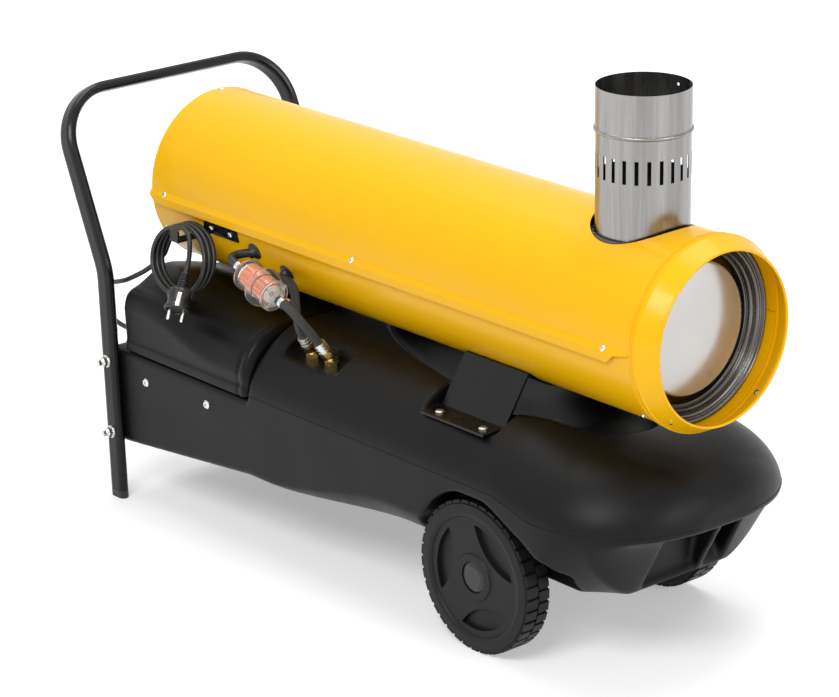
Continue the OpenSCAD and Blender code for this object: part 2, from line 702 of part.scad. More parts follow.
// a plate's section across the heater, carried along X from x by l
function mirrored(p) = [for (i = [len(p) - 1 : -1 : 0]) [-p[i][0], p[i][1]]];
module across(x, l) {
    translate([x, 0, 0]) rotate([90, 0, 90]) linear_extrude(l) children();
}
module front_bracket() {
    r0 = casing_r + 0.02;
    g = bracket_t;
    zt = axis_h - 92.4;
    leg = [[-81.7, zt], [-85.2, zt], [-123 - g, pad_h + g], [-bracket_screw_y - 15, pad_h + g],
        [-bracket_screw_y - 15, pad_h + 0.02], [-123, pad_h + 0.02]];
    color("black") difference() {
        across(bracket_x, bracket_l) union() {
            difference() {
                translate([0, axis_h]) circle(r = r0 + g, $fn = 128);
                translate([0, axis_h]) circle(r = r0, $fn = 128);
                translate([-200, zt]) square([400, 300]);
            }
            polygon(leg);
            polygon(mirrored(leg));
        }
        for (s = [-1, 1], x = [bracket_x + 21, bracket_x + 104])
            translate([x, s*bracket_screw_y, pad_h - 2]) cylinder(r = 3 + hole_gap, h = 10);
    }
}
module rear_bracket() {
    r0 = casing_r + 0.02;
    g = bracket_t;
    y0 = rear_bracket_y;
    z0 = deck_h + 0.02;
    zt = axis_h - 106;
    leg = [[-y0, z0], [-y0, zt - 4], [-y0 - g - 1, zt - 2], [-y0 - g - 1, z0 + g],
        [-y0 - 26, z0 + g], [-y0 - 26, z0]];
    color("black") difference() {
        across(rear_bracket_x, rear_bracket_l) union() {
            difference() {
                translate([0, axis_h]) circle(r = r0 + g, $fn = 128);
                translate([0, axis_h]) circle(r = r0, $fn = 128);
                translate([-200, zt]) square([400, 300]);
            }
            polygon(leg);
            polygon(mirrored(leg));
        }
        for (s = [-1, 1], x = [rear_bracket_x + 15, rear_bracket_x + rear_bracket_l - 15])
            translate([x, s*(y0 + 14), deck_h - 2]) cylinder(r = 3 + hole_gap, h = 10);
    }
}
module pan_screw(r, l) {
    difference() {
        union() {
            cylinder(r = 2.1*r, h = 0.5*r);
            translate([0, 0, 0.5*r]) cylinder(r1 = 2.1*r, r2 = 1.4*r, h = 0.6*r);
            translate([0, 0, -l]) cylinder(r = r, h = l + 0.1);
        }
        for (a = [0, 90]) rotate([0, 0, a]) translate([-0.9*r, -0.2*r, 0.5*r])
            cube([1.8*r, 0.4*r, r]);
    }
}
module bracket_screws() {
    color("silver") for (s = [-1, 1]) {
        for (x = [bracket_x + 21, bracket_x + 104])
            translate([x, s*bracket_screw_y, pad_h + bracket_t + 0.04]) pan_screw(3, 12);
        for (x = [rear_bracket_x + 15, rear_bracket_x + rear_bracket_l - 15])
            translate([x, s*(rear_bracket_y + 14), deck_h + bracket_t + 0.04]) pan_screw(3, 12);
    }
}

// the control box's cover: a tall section at its rear runs into a low one at its front
cover_x0 = x_rear + 8;
cover_x1 = step_x;
cover_z = deck_h + 2;
cover_tall = [[190, 0], [190, 64], [188, 73], [184, 82], [176, 88], [164, 92], [148, 100],
    [130, 110], [112, 114], [90, 111], [60, 104], [30, 95], [0, 92]];
cover_low = [[190, 0], [190, 30], [187, 41], [178, 60], [164, 74], [148, 83], [134, 88],
    [120, 91], [104, 92], [84, 92], [56, 91], [28, 91], [0, 91]];
function cover_t(x) = ease(x, cover_x0 + 40, cover_x0 + 215);
function cover_end(x) = 6*pow(1 - clamp((x - cover_x0)/8, 0, 1), 2)
    + 8*pow(1 - clamp((cover_x1 - x)/10, 0, 1), 2);
function cover_half(x, d) = let (n = len(cover_tall)) [for (i = [0 : n - 1]) let (
    p = mix(cover_tall[i], cover_low[i], cover_t(x)), y = p[0]*side_y/190,
    q = d + (i > 1 ? cover_end(x) : 0))
    [max(0, y - (y > 0 ? q*min(1, i < 5 ? 1 : y/170) : 0)), cover_z + p[1] - (i > 0 ? q : d > 0 ? 9 : 0)]];
function cover_ring(x, d) = let (h = cover_half(x, d), n = len(h)) concat(
    [for (p = h) [x, p[0], p[1]]],
    [for (i = [n - 2 : -1 : 0]) [x, -h[i][0], h[i][1]]]);
cover_steps = [0, 0.012, 0.03, 0.15, 0.24, 0.33, 0.42, 0.51, 0.6, 0.69, 0.78, 0.965, 0.985, 1];
panel_y0 = -70;
panel_y1 = 120;
panel_z = deck_h + 12;
panel_h = 62;
gland_y = 40 - side_y;
gland_z = deck_h + 13;
module cover_foot(x, s) {
    translate([x, s > 0 ? side_y - 20 : -side_y + 8, deck_h + 0.02]) cube([24, 12, 14]);
    translate([x, s > 0 ? side_y - 20 : -side_y + 1, deck_h + 6]) cube([24, 19, 8]);
}
module control_cover() {
    color("black") difference() {
        union() {
            difference() {
                loft([for (k = cover_steps) cover_ring(mix(cover_x0, cover_x1, k), 0)]);
                loft([for (x = [cover_x0 + cover_t, cover_x0 + 60, cover_x0 + 110,
                    cover_x0 + 160, cover_x0 + 215, cover_x1 - 14, cover_x1 - cover_t])
                    cover_ring(x, cover_t)]);
            }
            for (s = [-1, 1], x = [cover_x0 + 40, cover_x1 - 70]) cover_foot(x, s);
        }
        translate([rear_bracket_x - 6, -rear_bracket_y - 14, deck_h + 50])
            cube([rear_bracket_l + 12, 2*rear_bracket_y + 28, 80]);
        translate([cover_x0 - 2, panel_y0 + 10, panel_z + 8])
            cube([12, panel_y1 - panel_y0 - 20, panel_h - 16]);
        translate([cover_x0 - 5, gland_y, gland_z]) rotate([0, 90, 0])
            cylinder(r = 7.15, h = 20);
        for (y = [panel_y0 + 5, panel_y1 - 5]) translate([cover_x0 - 5, y, panel_z + panel_h/2])
            rotate([0, 90, 0]) cylinder(r = 2 + hole_gap, h = 20, $fn = 24);
    }
}
module cover_screws() {
    color("silver") union() {
        for (s = [-1, 1], t = tank_screws) translate([x_rear + t[0], s*(side_y + 0.02), t[1]])
            rotate([s > 0 ? -90 : 90, 0, 0]) pan_screw(3, 12);
        for (y = [panel_y0 + 5, panel_y1 - 5])
            translate([cover_x0 - 2.04, y, panel_z + panel_h/2]) rotate([0, -90, 0])
                pan_screw(2, 10);
    }
}

// the control panel on the box's rear face, and what sits in it
panel_x = cover_x0 - 0.02;
dev_z = panel_z + panel_h/2;
switch_y = 92;
button_y = 60;
lamp_y = 34;
socket_y = -18;
module control_panel() {
    color("dimgray") difference() {
        union() {
            translate([panel_x - 2, panel_y0, panel_z]) cube([2, panel_y1 - panel_y0, panel_h]);
            translate([panel_x - 5, switch_y - 17, dev_z - 20]) cube([24, 34, 40]);
        }
        translate([panel_x - 6, switch_y - 13, dev_z - 16]) cube([23, 26, 32]);
        translate([panel_x - 5, button_y, dev_z]) rotate([0, 90, 0]) cylinder(r = 6.4, h = 10);
        translate([panel_x - 5, lamp_y, dev_z]) rotate([0, 90, 0]) cylinder(r = 5.1, h = 10);
        translate([panel_x - 5, socket_y, dev_z]) rotate([0, 90, 0]) cylinder(r = 15.1, h = 10);
        for (y = [panel_y0 + 5, panel_y1 - 5]) translate([panel_x - 5, y, dev_z])
            rotate([0, 90, 0]) cylinder(r = 2 + hole_gap, h = 10, $fn = 24);
        translate([panel_x + 7, switch_y - 15, dev_z]) rotate([-90, 0, 0])
            cylinder(r = 2.5, h = 30);
    }
}
module main_switch() {
    color("black") difference() {
        union() {
            intersection() {
                translate([panel_x + 7, switch_y - 12.5, dev_z]) rotate([-90, 0, 0])
                    cylinder(r = 15.4, h = 25);
                translate([panel_x - 10, switch_y - 12.5, dev_z - 13]) cube([16, 25, 26]);
            }
            translate([panel_x + 7, switch_y - 14.6, dev_z]) rotate([-90, 0, 0])
                cylinder(r = 2.45, h = 29.2);
            translate([panel_x + 5, switch_y - 12.5, dev_z - 4]) cube([4, 25, 8]);
        }
        translate([panel_x - 19, switch_y - 13, dev_z - 3]) rotate([-90, 0, 0])
            cylinder(r = 12, h = 26);
    }
}
module reset_button() {
    color("red") union() {
        translate([panel_x - 7, button_y, dev_z]) rotate([0, 90, 0]) cylinder(r = 6, h = 14);
        translate([panel_x + 3.6, button_y, dev_z]) rotate([0, 90, 0]) cylinder(r = 8, h = 2);
    }
}
module pilot_lamp() {
    color("orange") translate([panel_x - 4, lamp_y, dev_z]) rotate([0, 90, 0]) union() {
        translate([0, 0, -1]) cylinder(r1 = 3.4, r2 = 6.5, h = 1.5);
        translate([0, 0, 0.5]) cylinder(r = 6.5, h = 1.48);
        cylinder(r = 5, h = 18);
    }
}
lid_x = panel_x - 15;
lid_z = dev_z + 22;
module thermostat_socket() {
    color("dimgray") difference() {
        union() {
            translate([panel_x - 10, socket_y, dev_z]) rotate([0, 90, 0]) cylinder(r = 15, h = 30);
            translate([panel_x - 4, socket_y - 19, dev_z - 19]) cube([1.98, 38, 38]);
            for (s = [-1, 1]) translate([lid_x - 3, socket_y + (s > 0 ? 8 : -14), lid_z - 4])
                cube([13, 6, 7]);
            translate([lid_x, socket_y - 14, lid_z]) rotate([-90, 0, 0])
                cylinder(r = 1.5, h = 28);
            for (s = [-1, 1]) translate([panel_x - 10, socket_y + (s > 0 ? 8 : -14), dev_z + 8])
                cube([8, 6, 13]);
        }
        difference() {
            translate([panel_x - 11, socket_y, dev_z]) rotate([0, 90, 0]) cylinder(r = 13, h = 22);
            translate([panel_x - 12, socket_y, dev_z]) rotate([0, 90, 0]) cylinder(r = 10, h = 24);
        }
        for (y = [-4.5, 4.5], z = [-4, 4]) translate([panel_x - 11, socket_y + y, dev_z + z])
            rotate([0, 90, 0]) cylinder(r = 1.6, h = 16, $fn = 20);
    }
}
module socket_lid() {
    color("black") difference() {
        union() {
            translate([lid_x, socket_y - 7.5, lid_z]) rotate([-90, 0, 0])
                cylinder(r = 3, h = 15);
            translate([lid_x - 1, socket_y - 7.5, lid_z - 8]) cube([3, 15, 8]);
            translate([lid_x - 1, socket_y, dev_z]) rotate([0, 90, 0]) cylinder(r = 17, h = 3);
            difference() {
                translate([lid_x, socket_y, dev_z]) rotate([0, 90, 0]) cylinder(r = 17, h = 7);
                translate([lid_x, socket_y, dev_z]) rotate([0, 90, 0]) cylinder(r = 15.6, h = 8);
                translate([lid_x + 1, socket_y - 20, dev_z + 6]) cube([20, 40, 20]);
            }
        }
        translate([lid_x, socket_y - 10, lid_z]) rotate([-90, 0, 0])
            cylinder(r = 1.56, h = 20);
    }
}
module ignition_transformer() {
    color("dimgray") union() {
        translate([x_rear + 228, -35, deck_h + 0.02]) cube([50, 70, 46]);
        for (y = [-18, 18]) translate([x_rear + 253, y, deck_h + 40]) cylinder(r = 7, h = 18);
    }
}
module cable_gland() {
    color("black") translate([cover_x0, gland_y, gland_z]) rotate([0, 90, 0]) difference() {
        union() {
            translate([0, 0, -4.02]) cylinder(r = 9.5, h = 4);
            translate([0, 0, -7]) cylinder(r = 9, h = 4, $fn = 6);
            translate([0, 0, -26]) cylinder(r1 = cord_d/2 + 2, r2 = 8, h = 19.5);
            translate([0, 0, -5]) cylinder(r = 7, h = 18);
            translate([0, 0, cover_t + 0.02]) cylinder(r = 10, h = 5, $fn = 6);
        }
        translate([0, 0, -30]) cylinder(r = cord_d/2 + 0.05, h = 60);
    }
}

// the handle: a flat oval tube, two bends in each leg and a rounded top
knee_r = 80;
knee_a = top_lean - low_lean;
knee_t = knee_r*tan(knee_a/2);
low_l = knee_h/cos(low_lean) - knee_t;
high_l = (handle_h - knee_h)/cos(top_lean) - knee_t - corner_r;
plug_h = 10;
module oval(d) {
    r = tube_t/2 - d;
    polygon([for (s = [0, 1], i = [0 : 6]) let (a = 180*s - 90 + 30*i)
        [(1 - 2*s)*(tube_w - tube_t)/2, 0] + r*[cos(a), sin(a)]]);
}
module oval_tube() {
    difference() {
        oval(0);
        oval(tube_wall);
    }
}
module on_knee() {
    translate([-knee_r*(1 - cos(knee_a)), 0, low_l + knee_r*sin(knee_a)])
        rotate([0, -knee_a, 0]) children();
}
module leg(s) {
    translate([0, s*handle_w/2, 0]) {
        translate([0, 0, plug_h]) linear_extrude(low_l - plug_h) oval_tube();
        translate([-knee_r, 0, low_l]) rotate([90, 0, 0])
            rotate_extrude(angle = knee_a, $fn = 96) translate([knee_r, 0]) oval_tube();
        on_knee() {
            linear_extrude(high_l) oval_tube();
            translate([0, -s*corner_r, high_l]) rotate([90, 0, 0]) rotate([0, -90, 0])
                rotate([0, 0, s > 0 ? 90 : 0]) rotate_extrude(angle = 90, $fn = 48)
                translate([corner_r, 0]) rotate(90) oval_tube();
        }
    }
}
module handle_tube() {
    color("black") difference() {
        translate([x_foot, 0, 0]) rotate([0, -low_lean, 0]) union() {
            leg(-1);
            leg(1);
            on_knee() translate([0, corner_r - handle_w/2, high_l + corner_r])
                rotate([-90, 0, 0]) linear_extrude(handle_w - 2*corner_r) oval_tube();
        }
        for (s = [-1, 1], z = bolt_z) translate([leg_x(z), s*handle_w/2, z]) rotate([90, 0, 0])
            cylinder(r = bolt_r + hole_gap, h = 40, center = true);
    }
}
module leg_plugs() {
    color("black") for (s = [-1, 1]) intersection() {
        translate([x_foot, s*handle_w/2, 0]) rotate([0, -low_lean, 0]) union() {
            translate([0, 0, -3]) linear_extrude(plug_h + 2.95) oval(0);
            translate([0, 0, plug_h - 1]) linear_extrude(14) oval(tube_wall + 0.1);
        }
        translate([x_foot - 50, s*handle_w/2 - 50, 0]) cube([100, 100, 60]);
    }
}
module handle_bolts() {
    w = handle_w/2 + tube_t/2;
    color("silver") for (s = [-1, 1], z = bolt_z) translate([leg_x(z), s*(w + 0.02), z])
        rotate([s > 0 ? -90 : 90, 0, 0]) union() {
            translate([0, 0, -tube_t - 22]) cylinder(r = bolt_r, h = tube_t + 38);
            cylinder(r = 9, h = 1.6);
            translate([0, 0, 1.5]) cylinder(r = 7.5, h = 6.5, $fn = 6);
            translate([0, 0, 7.9]) cylinder(r1 = 6.5, r2 = 5, h = 3);
        }
}

// the wheels on their axle
wheel_y = track_w/2 - wheel_w;
wheel_r = wheel_d/2;
hub_r = 31;
cap_r = 20;
axle_end = track_w/2 - 5;
module axle() {
    color("silver") translate([x_axle, -axle_end, axle_z]) rotate([-90, 0, 0])
        cylinder(r = axle_d/2, h = 2*axle_end);
}
module axle_clips() {
    r = axle_d/2;
    boss = belly_h - axle_z - 0.1;
    color("black") for (s = [-1, 1]) difference() {
        union() {
            translate([x_axle - 17, s*92 - 16, axle_z]) cube([34, 32, belly_h - axle_z - 0.02]);
            translate([x_axle, s*92 - 16, axle_z]) rotate([-90, 0, 0]) cylinder(r = boss, h = 32);
            translate([x_axle - 34, s*92 - 16, belly_h - 4]) cube([68, 32, 3.98]);
        }
        translate([x_axle, s*92 - 20, axle_z]) rotate([-90, 0, 0])
            cylinder(r = r + 0.02, h = 40);
    }
}
module tread(y, l, r) {
    a = 360/lugs;
    translate([0, 0, y]) linear_extrude(l) union() {
        circle(r = r - lug_h, $fn = 2*lugs);
        for (i = [0 : lugs - 1]) rotate(i*a) polygon([for (p = [[r - lug_h - 1, -0.42],
            [r, -0.37], [r, 0.37], [r - lug_h - 1, 0.42]]) p[0]*[cos(a*p[1]), sin(a*p[1])]]);
    }
}
module lens(w, l, h) {
    rr = (l*l/4 + w*w/4)/w;
    linear_extrude(h) intersection() {
        translate([-rr + w/2, 0]) circle(r = rr, $fn = 96);
        translate([rr - w/2, 0]) circle(r = rr, $fn = 96);
    }
}
module wheel() {
    w = wheel_w;
    difference() {
        union() {
            translate([0, 0, wheel_y]) rotate_extrude($fn = 96)
                polygon([[0, 8], [hub_r, 8], [hub_r + 6, 14], [wheel_r - 24, 14],
                    [wheel_r - 20, 4], [wheel_r - 12, 0], [wheel_r - lug_h - 3, 0],
                    [wheel_r - lug_h - 0.5, 4], [wheel_r - lug_h - 0.5, w - 4],
                    [wheel_r - lug_h - 2, w - 1], [wheel_r - 16, w], [wheel_r - 21, w - 1],
                    [wheel_r - 25, w - 6], [hub_r + 4, w - 6], [hub_r, w - 1], [0, w - 1]]);
            translate([0, 0, wheel_y]) cylinder(r = 18, h = 20);
            tread(wheel_y + 3, w/2 - 4, wheel_r);
            rotate(180/lugs) tread(wheel_y + w/2 + 1, w/2 - 4, wheel_r);
        }
        for (i = [0 : 2]) rotate(120*i + 70) translate([0.55*wheel_r, 0, wheel_y + w - 9.5])
            lens(30, 92, 20);
        translate([0, 0, wheel_y - 1]) cylinder(r = axle_d/2 + axle_gap, h = w + 2);
        translate([0, 0, wheel_y + w - 12]) cylinder(r = cap_r + 1, h = 20);
    }
}
module wheel_left() {
    color("black") translate([x_axle, 0, axle_z]) rotate([-90, 0, 0]) wheel();
}
module wheel_right() {
    color("black") mirror([0, 1, 0]) translate([x_axle, 0, axle_z]) rotate([-90, 0, 0]) wheel();
}
module axle_caps() {
    color("black") for (s = [-1, 1]) translate([x_axle, 0, axle_z])
        rotate([s > 0 ? -90 : 90, 0, 0]) difference() {
            union() {
                translate([0, 0, wheel_y + wheel_w - 11.5]) cylinder(r = cap_r, h = 9);
                translate([0, 0, wheel_y + wheel_w - 2.6]) cylinder(r1 = cap_r, r2 = 15, h = 2.4);
                translate([0, 0, wheel_y - 3]) cylinder(r = 14, h = 2.5);
            }
            translate([0, 0, wheel_y - 10]) cylinder(r = axle_d/2 + 0.02, h = 10 + wheel_w - 4.9);
        }
}
module casing_screws() {
    color("silver") union() {
        for (h = casing_holes) on_casing(h[0], h[1], 0.12) pan_screw(screw_r, 9);
        for (x = ledge_x, s = [-1, 1]) ledge_place(x, s) translate([0, 0, 0.04]) pan_screw(screw_r, 9);
        for (x = hook_x) on_casing(x, hook_a, 2.6) pan_screw(screw_r, 9);
        for (s = [-1, 1]) nose_place(s) rotate([180, 0, 0]) pan_screw(screw_r, 4);
    }
}

// the hook and the mains cord wound on it; places are taken from the casing's middle
function at(p) = [for (q = p) [q[0] + mid, q[1], q[2] + axis_h - 448]];
function length(p) = len(p) < 2 ? 0
    : [for (i = 0, s = 0; i < len(p); i = i + 1, s = i < len(p) ? s + norm(p[i] - p[i - 1]) : s)
        s][len(p) - 1];
coil_c = at([[-381, -150, 373]])[0];
coil_rx = 56;
coil_rz = 46;
coil_turn = 1150;
coil_rings = 77;
coil_pts = [for (i = [0 : coil_rings]) let (t = i/coil_rings, a = 170 - coil_turn*t,
    z = coil_rz*sin(a)) coil_c + [coil_rx*cos(a), 13 - 26*t + 0.25*z, z]];
lead_pts = concat(spline(at([[-463, -150, 237], [-482, -150, 237], [-502, -150, 237],
    [-522, -150, 237], [-541, -150.5, 239], [-558, -152, 245], [-569.5, -154, 256],
    [-573, -157, 270], [-568, -160, 284], [-556, -164, 296], [-537, -168, 306],
    [-512, -172, 314], [-490, -172, 322], [-473, -168, 331], [-460, -160, 340],
    [-449.5, -150, 351], [-441, -140, 364]]), 2), [coil_pts[0] - [1.5, 1.5, 6.9]], [coil_pts[0]]);
tail_pts = concat([coil_pts[coil_rings]], spline(at([[-378.5, -152.6, 420],
    [-366, -155.5, 419.6], [-355.5, -159, 415.5], [-349.5, -161.5, 407.5],
    [-347.5, -163.5, 396.5], [-347, -165.5, 386], [-345.7, -169.6, 375.4],
    [-343.3, -174.5, 367.8], [-340.6, -179, 361.8]]), 2));
echo(cord_length = length(lead_pts) + length(coil_pts) + length(tail_pts));
echo(line_gap = min([for (p = feed_pts, q = return_pts) norm(p - q)]) - 8);
echo(coil_gap = min([for (i = [0 : coil_rings]) for (j = [i + 12 : coil_rings])
    if (j <= coil_rings) norm(coil_pts[i] - coil_pts[j])]) - cord_d);
module cord_hook() {
    color("black") union() {
        difference() {
            on_casing(x_rear + 156, hook_a, 0.02) translate([-36, -8.5, 0]) cube([72, 17, 2.5]);
            for (x = hook_x) on_casing(x, hook_a, -10)
                cylinder(r = screw_r + hole_gap, h = 20, $fn = 24);
        }
        translate([x_rear + 111, -176, axis_h - 40.6]) cube([18, 56.5, 3]);
        translate([x_rear + 111, -176, axis_h - 40.6]) cube([18, 3, 17]);
        translate([x_rear + 120, -124, axis_h - 40.6]) cube([9, 3, 18]);
    }
}
module cord_lead() {
    color("black") swept(lead_pts, cord_d, 10);
}
module cord_coil() {
    color("black") swept(coil_pts, cord_d, 6, [0, 1, 0]);
}
module cord_tail() {
    color("black") swept(tail_pts, cord_d, 10);
}
plug_ends = at([[-343.3, -174.5, 367.8], [-319.5, -214, 315.1]]);
module mains_plug() {
    color("black") along(plug_ends[0], plug_ends[1]) rotate([0, 0, -18.6]) difference() {
        union() {
            cylinder(r1 = cord_d/2 + 1.2, r2 = 7, h = 22);
            rotate_extrude() polygon([[0, 20], [7, 20], [11, 24], [16, 27], [18, 32],
                [18, 38], [16, 42], [16, 50], [18.5, 54], [18.5, 57], [0, 57]]);
            for (s = [-1, 1]) translate([0, s*9.5, 56]) cylinder(r = 2.4, h = 16.5, $fn = 24);
            for (s = [-1, 1]) translate([s*17.9 - 1, -3, 36]) cube([2, 6, 20]);
        }
        translate([0, 0, -1]) cylinder(r = cord_d/2 + 0.05, h = 12);
    }
}

// the fuel line: tank fittings, hoses and the clear filter
filter_ends = at([[-222.8, -158.5, 390.2], [-130.4, -168.6, 370.6]]);
filter_u = unit(filter_ends[1] - filter_ends[0]);
function on_filter(z) = filter_ends[0] + filter_u*z;
ferrule_u = [unit([-2, -20, 35]), unit([-10, -20, 33])];
function on_fit(i, z) = [fit_x[i], fit_y, pad_h + 6] + ferrule_u[i]*z;
module filter_bowl() {
    r = filter_d/2;
    color("white") along(filter_ends[0], filter_ends[1]) union() {
        rotate_extrude($fn = 48) polygon([[2.5, -30], [4.5, -30], [4.5, -2], [r + 2.5, -2],
            [r + 2.5, 2], [r - 1, 3], [r - 1, 35], [r + 8, 36], [r + 8, 39.5], [r - 1, 40.5],
            [r - 2, 62], [r + 2, 63], [r + 2, 66], [13, 66.5], [12, 71], [6, 74], [4.5, 75],
            [4.5, 95], [2.5, 95], [2.5, 73], [10, 69.5], [11.5, 64.5], [r - 4, 61], [r - 3, 40],
            [r - 3, 4], [r - 4, 1], [2.5, 1]]);
        for (i = [0 : 3]) rotate([0, 0, 90*i + 45]) translate([11, -0.8, 65.9])
            cube([r - 9.5, 1.6, 6]);
    }
}
module filter_element() {
    r = filter_d/2 - 5;
    color("orange") along(filter_ends[0], filter_ends[1]) translate([0, 0, 1.02])
        linear_extrude(57) difference() {
            polygon([for (i = [0 : 47]) (i % 2 == 0 ? r : r - 2)*[cos(7.5*i), sin(7.5*i)]]);
            circle(r = 5);
        }
}
module nozzle_bore(z, h) {
    along(filter_ends[0], filter_ends[1]) translate([0, 0, z])
        cylinder(r = 4.55, h = h);
}
elbow_pts = concat(at([[-263, -104, 409]]), bend(at([[-263, -117, 404.1]])[0], [-50, -60, -10],
    on_filter(-33), 75*filter_u, 12), [on_filter(-17), on_filter(-2.3)]);
feed_pts = concat([on_filter(77)],
    bend(on_filter(97), 40*filter_u, on_fit(1, 32), -90*ferrule_u[1], 12), [on_fit(1, 16.1)]);
return_pts = concat(spline(at([[-204, -97, 392], [-204, -106.5, 386.5],
    [-203.5, -113, 382.8], [-199, -118, 381], [-190, -120.5, 381.5], [-179, -122.5, 382],
    [-167, -126.5, 379]]), 2), bend(at([[-155.5, -132, 369]])[0], [32, -22, -45],
    on_fit(0, 32), -60*ferrule_u[0], 10), [on_fit(0, 16.1)]);
module filter_hose() {
    color("black") difference() {
        swept(elbow_pts, hose_d, 12, [1, 0, 0]);
        nozzle_bore(-32, 32);
    }
}
module fuel_hoses() {
    color("black") union() {
        difference() {
            swept(feed_pts, hose_d, 12, [0, 1, 0]);
            nozzle_bore(75, 22);
        }
        swept(return_pts, hose_d, 12);
    }
}
module hose_ferrules() {
    color("silver") for (i = [0, 1]) along(on_fit(i, 0), on_fit(i, 40))
        translate([0, 0, 16.05]) union() {
            tube(hose_d/2 + 2.2, 2.1, 16);
            for (z = [2, 7, 12]) translate([0, 0, z]) tube(hose_d/2 + 2.8, 1, 2);
        }
}
module hose_fittings() {
    color("goldenrod") for (i = [0, 1]) union() {
        translate([fit_x[i], fit_y, pad_h - 12]) cylinder(r = 7, h = 12.1);
        translate([fit_x[i], fit_y, pad_h + 0.02]) cylinder(r = fit_r, h = 7, $fn = 6);
        translate([fit_x[i], fit_y, pad_h + 4]) cylinder(r = 8, h = 6);
        along(on_fit(i, 0), on_fit(i, 16)) cylinder(r = 6, h = 16);
        along(on_fit(i, 0), on_fit(i, 16)) translate([0, 0, 7]) cylinder(r = 9, h = 8, $fn = 6);
    }
}
module hose_clamps() {
    color("silver") for (z = [-27, 84]) along(filter_ends[0], filter_ends[1])
        translate([0, 0, z]) union() {
            tube(hose_d/2 + 1.3, 1.2, 7);
            translate([-4, hose_d/2 + 0.6, 0]) cube([8, 4, 7]);
        }
}

upper_shell();
lower_shell();
outlet_nose();
outlet_ring();
heat_exchanger();
drum_supports();
flue_pipe();
fan_guard();
fan();
motor_shaft();
motor();
motor_bracket();
fuel_pump();
pump_coupling();
solenoid_valve();
nozzle_pipe();
blast_tube();
flame_disc();
nozzle_holder();
electrodes();
photocell();
fuel_tank();
filler_cap();
filler_strainer();
drain_plug();
suction_pipes();
front_bracket();
rear_bracket();
bracket_screws();
control_cover();
cover_screws();
control_panel();
main_switch();
reset_button();
pilot_lamp();
thermostat_socket();
socket_lid();
ignition_transformer();
cable_gland();
handle_tube();
leg_plugs();
handle_bolts();
axle();
axle_clips();
wheel_left();
wheel_right();
axle_caps();
casing_screws();
cord_hook();
cord_lead();
cord_coil();
cord_tail();
mains_plug();
filter_bowl();
filter_element();
filter_hose();
fuel_hoses();
hose_ferrules();
hose_fittings();
hose_clamps();
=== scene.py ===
"""Looks of the indirect fired space heater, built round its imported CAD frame.

Lengths in the functions are millimetres in the frame that the tools share; a mesh is
scaled to metres when it is made. X points to the hot-air outlet and Z up, as in the CAD
source. A name that ends in _M is in metres.
"""

import math

import bmesh
import bpy
import numpy as np
from mathutils import Matrix, Vector


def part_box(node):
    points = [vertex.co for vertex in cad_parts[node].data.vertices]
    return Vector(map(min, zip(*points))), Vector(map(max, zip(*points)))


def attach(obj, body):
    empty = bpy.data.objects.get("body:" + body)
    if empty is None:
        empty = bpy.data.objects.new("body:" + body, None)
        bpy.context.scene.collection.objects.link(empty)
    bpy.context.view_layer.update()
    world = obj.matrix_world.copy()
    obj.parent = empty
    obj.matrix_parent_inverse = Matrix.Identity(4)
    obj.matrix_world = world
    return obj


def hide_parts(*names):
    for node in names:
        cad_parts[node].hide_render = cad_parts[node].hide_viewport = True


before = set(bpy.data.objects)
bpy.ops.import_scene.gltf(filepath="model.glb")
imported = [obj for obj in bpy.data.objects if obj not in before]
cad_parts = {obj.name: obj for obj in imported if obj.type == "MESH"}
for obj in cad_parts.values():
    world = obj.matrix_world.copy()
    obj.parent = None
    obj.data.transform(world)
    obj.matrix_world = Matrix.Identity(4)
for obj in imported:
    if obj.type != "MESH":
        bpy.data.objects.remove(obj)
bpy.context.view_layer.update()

MM = 0.001
ROUND = 2 * math.pi


def box_mm(node):
    """Lowest and highest corner of a CAD node, in millimetres."""
    low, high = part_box(node)
    return np.array(low) / MM, np.array(high) / MM


# the driving sizes, read from the frame
shell_low, shell_high = box_mm("lower_shell")
casing_r = (shell_high[1] - shell_low[1]) / 2
axis_h = shell_low[2] + casing_r
x_rear, x_front = shell_low[0], shell_high[0]
mid = (x_rear + x_front) / 2
flue_low, flue_high = box_mm("flue_pipe")
x_flue = (flue_low[0] + flue_high[0]) / 2
wheel_low, wheel_high = box_mm("wheel_right")
wheel_r = (wheel_high[2] - wheel_low[2]) / 2
x_axle, axle_z = (wheel_low[0] + wheel_high[0]) / 2, wheel_low[2] + wheel_r
tank_low, tank_high = box_mm("fuel_tank")
tank_x0, tank_tip, side_y = tank_low[0], tank_high[0], tank_high[1]
cover_low, cover_high = box_mm("control_cover")
deck_h = cover_low[2] - 0.02


def at(x, y, z):
    """A point whose x is counted from the casing's middle."""
    return np.array([x + mid, y, z], float)


# the fuel filter's ends, which its pleated finish needs as well
FILTER_AT, FILTER_END = at(-222.8, -158.5, 390.2), at(-130.4, -168.6, 370.6)

# ---------------------------------------------------------------- camera
# fitted to the photograph's edges; FOCAL_PX is in pixels of a picture PHOTO_W wide
PHOTO_W = 839
CAMERA_AT = at(3132.0, -2728.0, 1765.9)
CAMERA_AZIMUTH, CAMERA_PITCH, CAMERA_ROLL = np.radians([49.43, 19.39, -0.83])
FOCAL_PX = 3279.0
SENSOR_W = 36.0
CLIP_M = (0.1, 60)


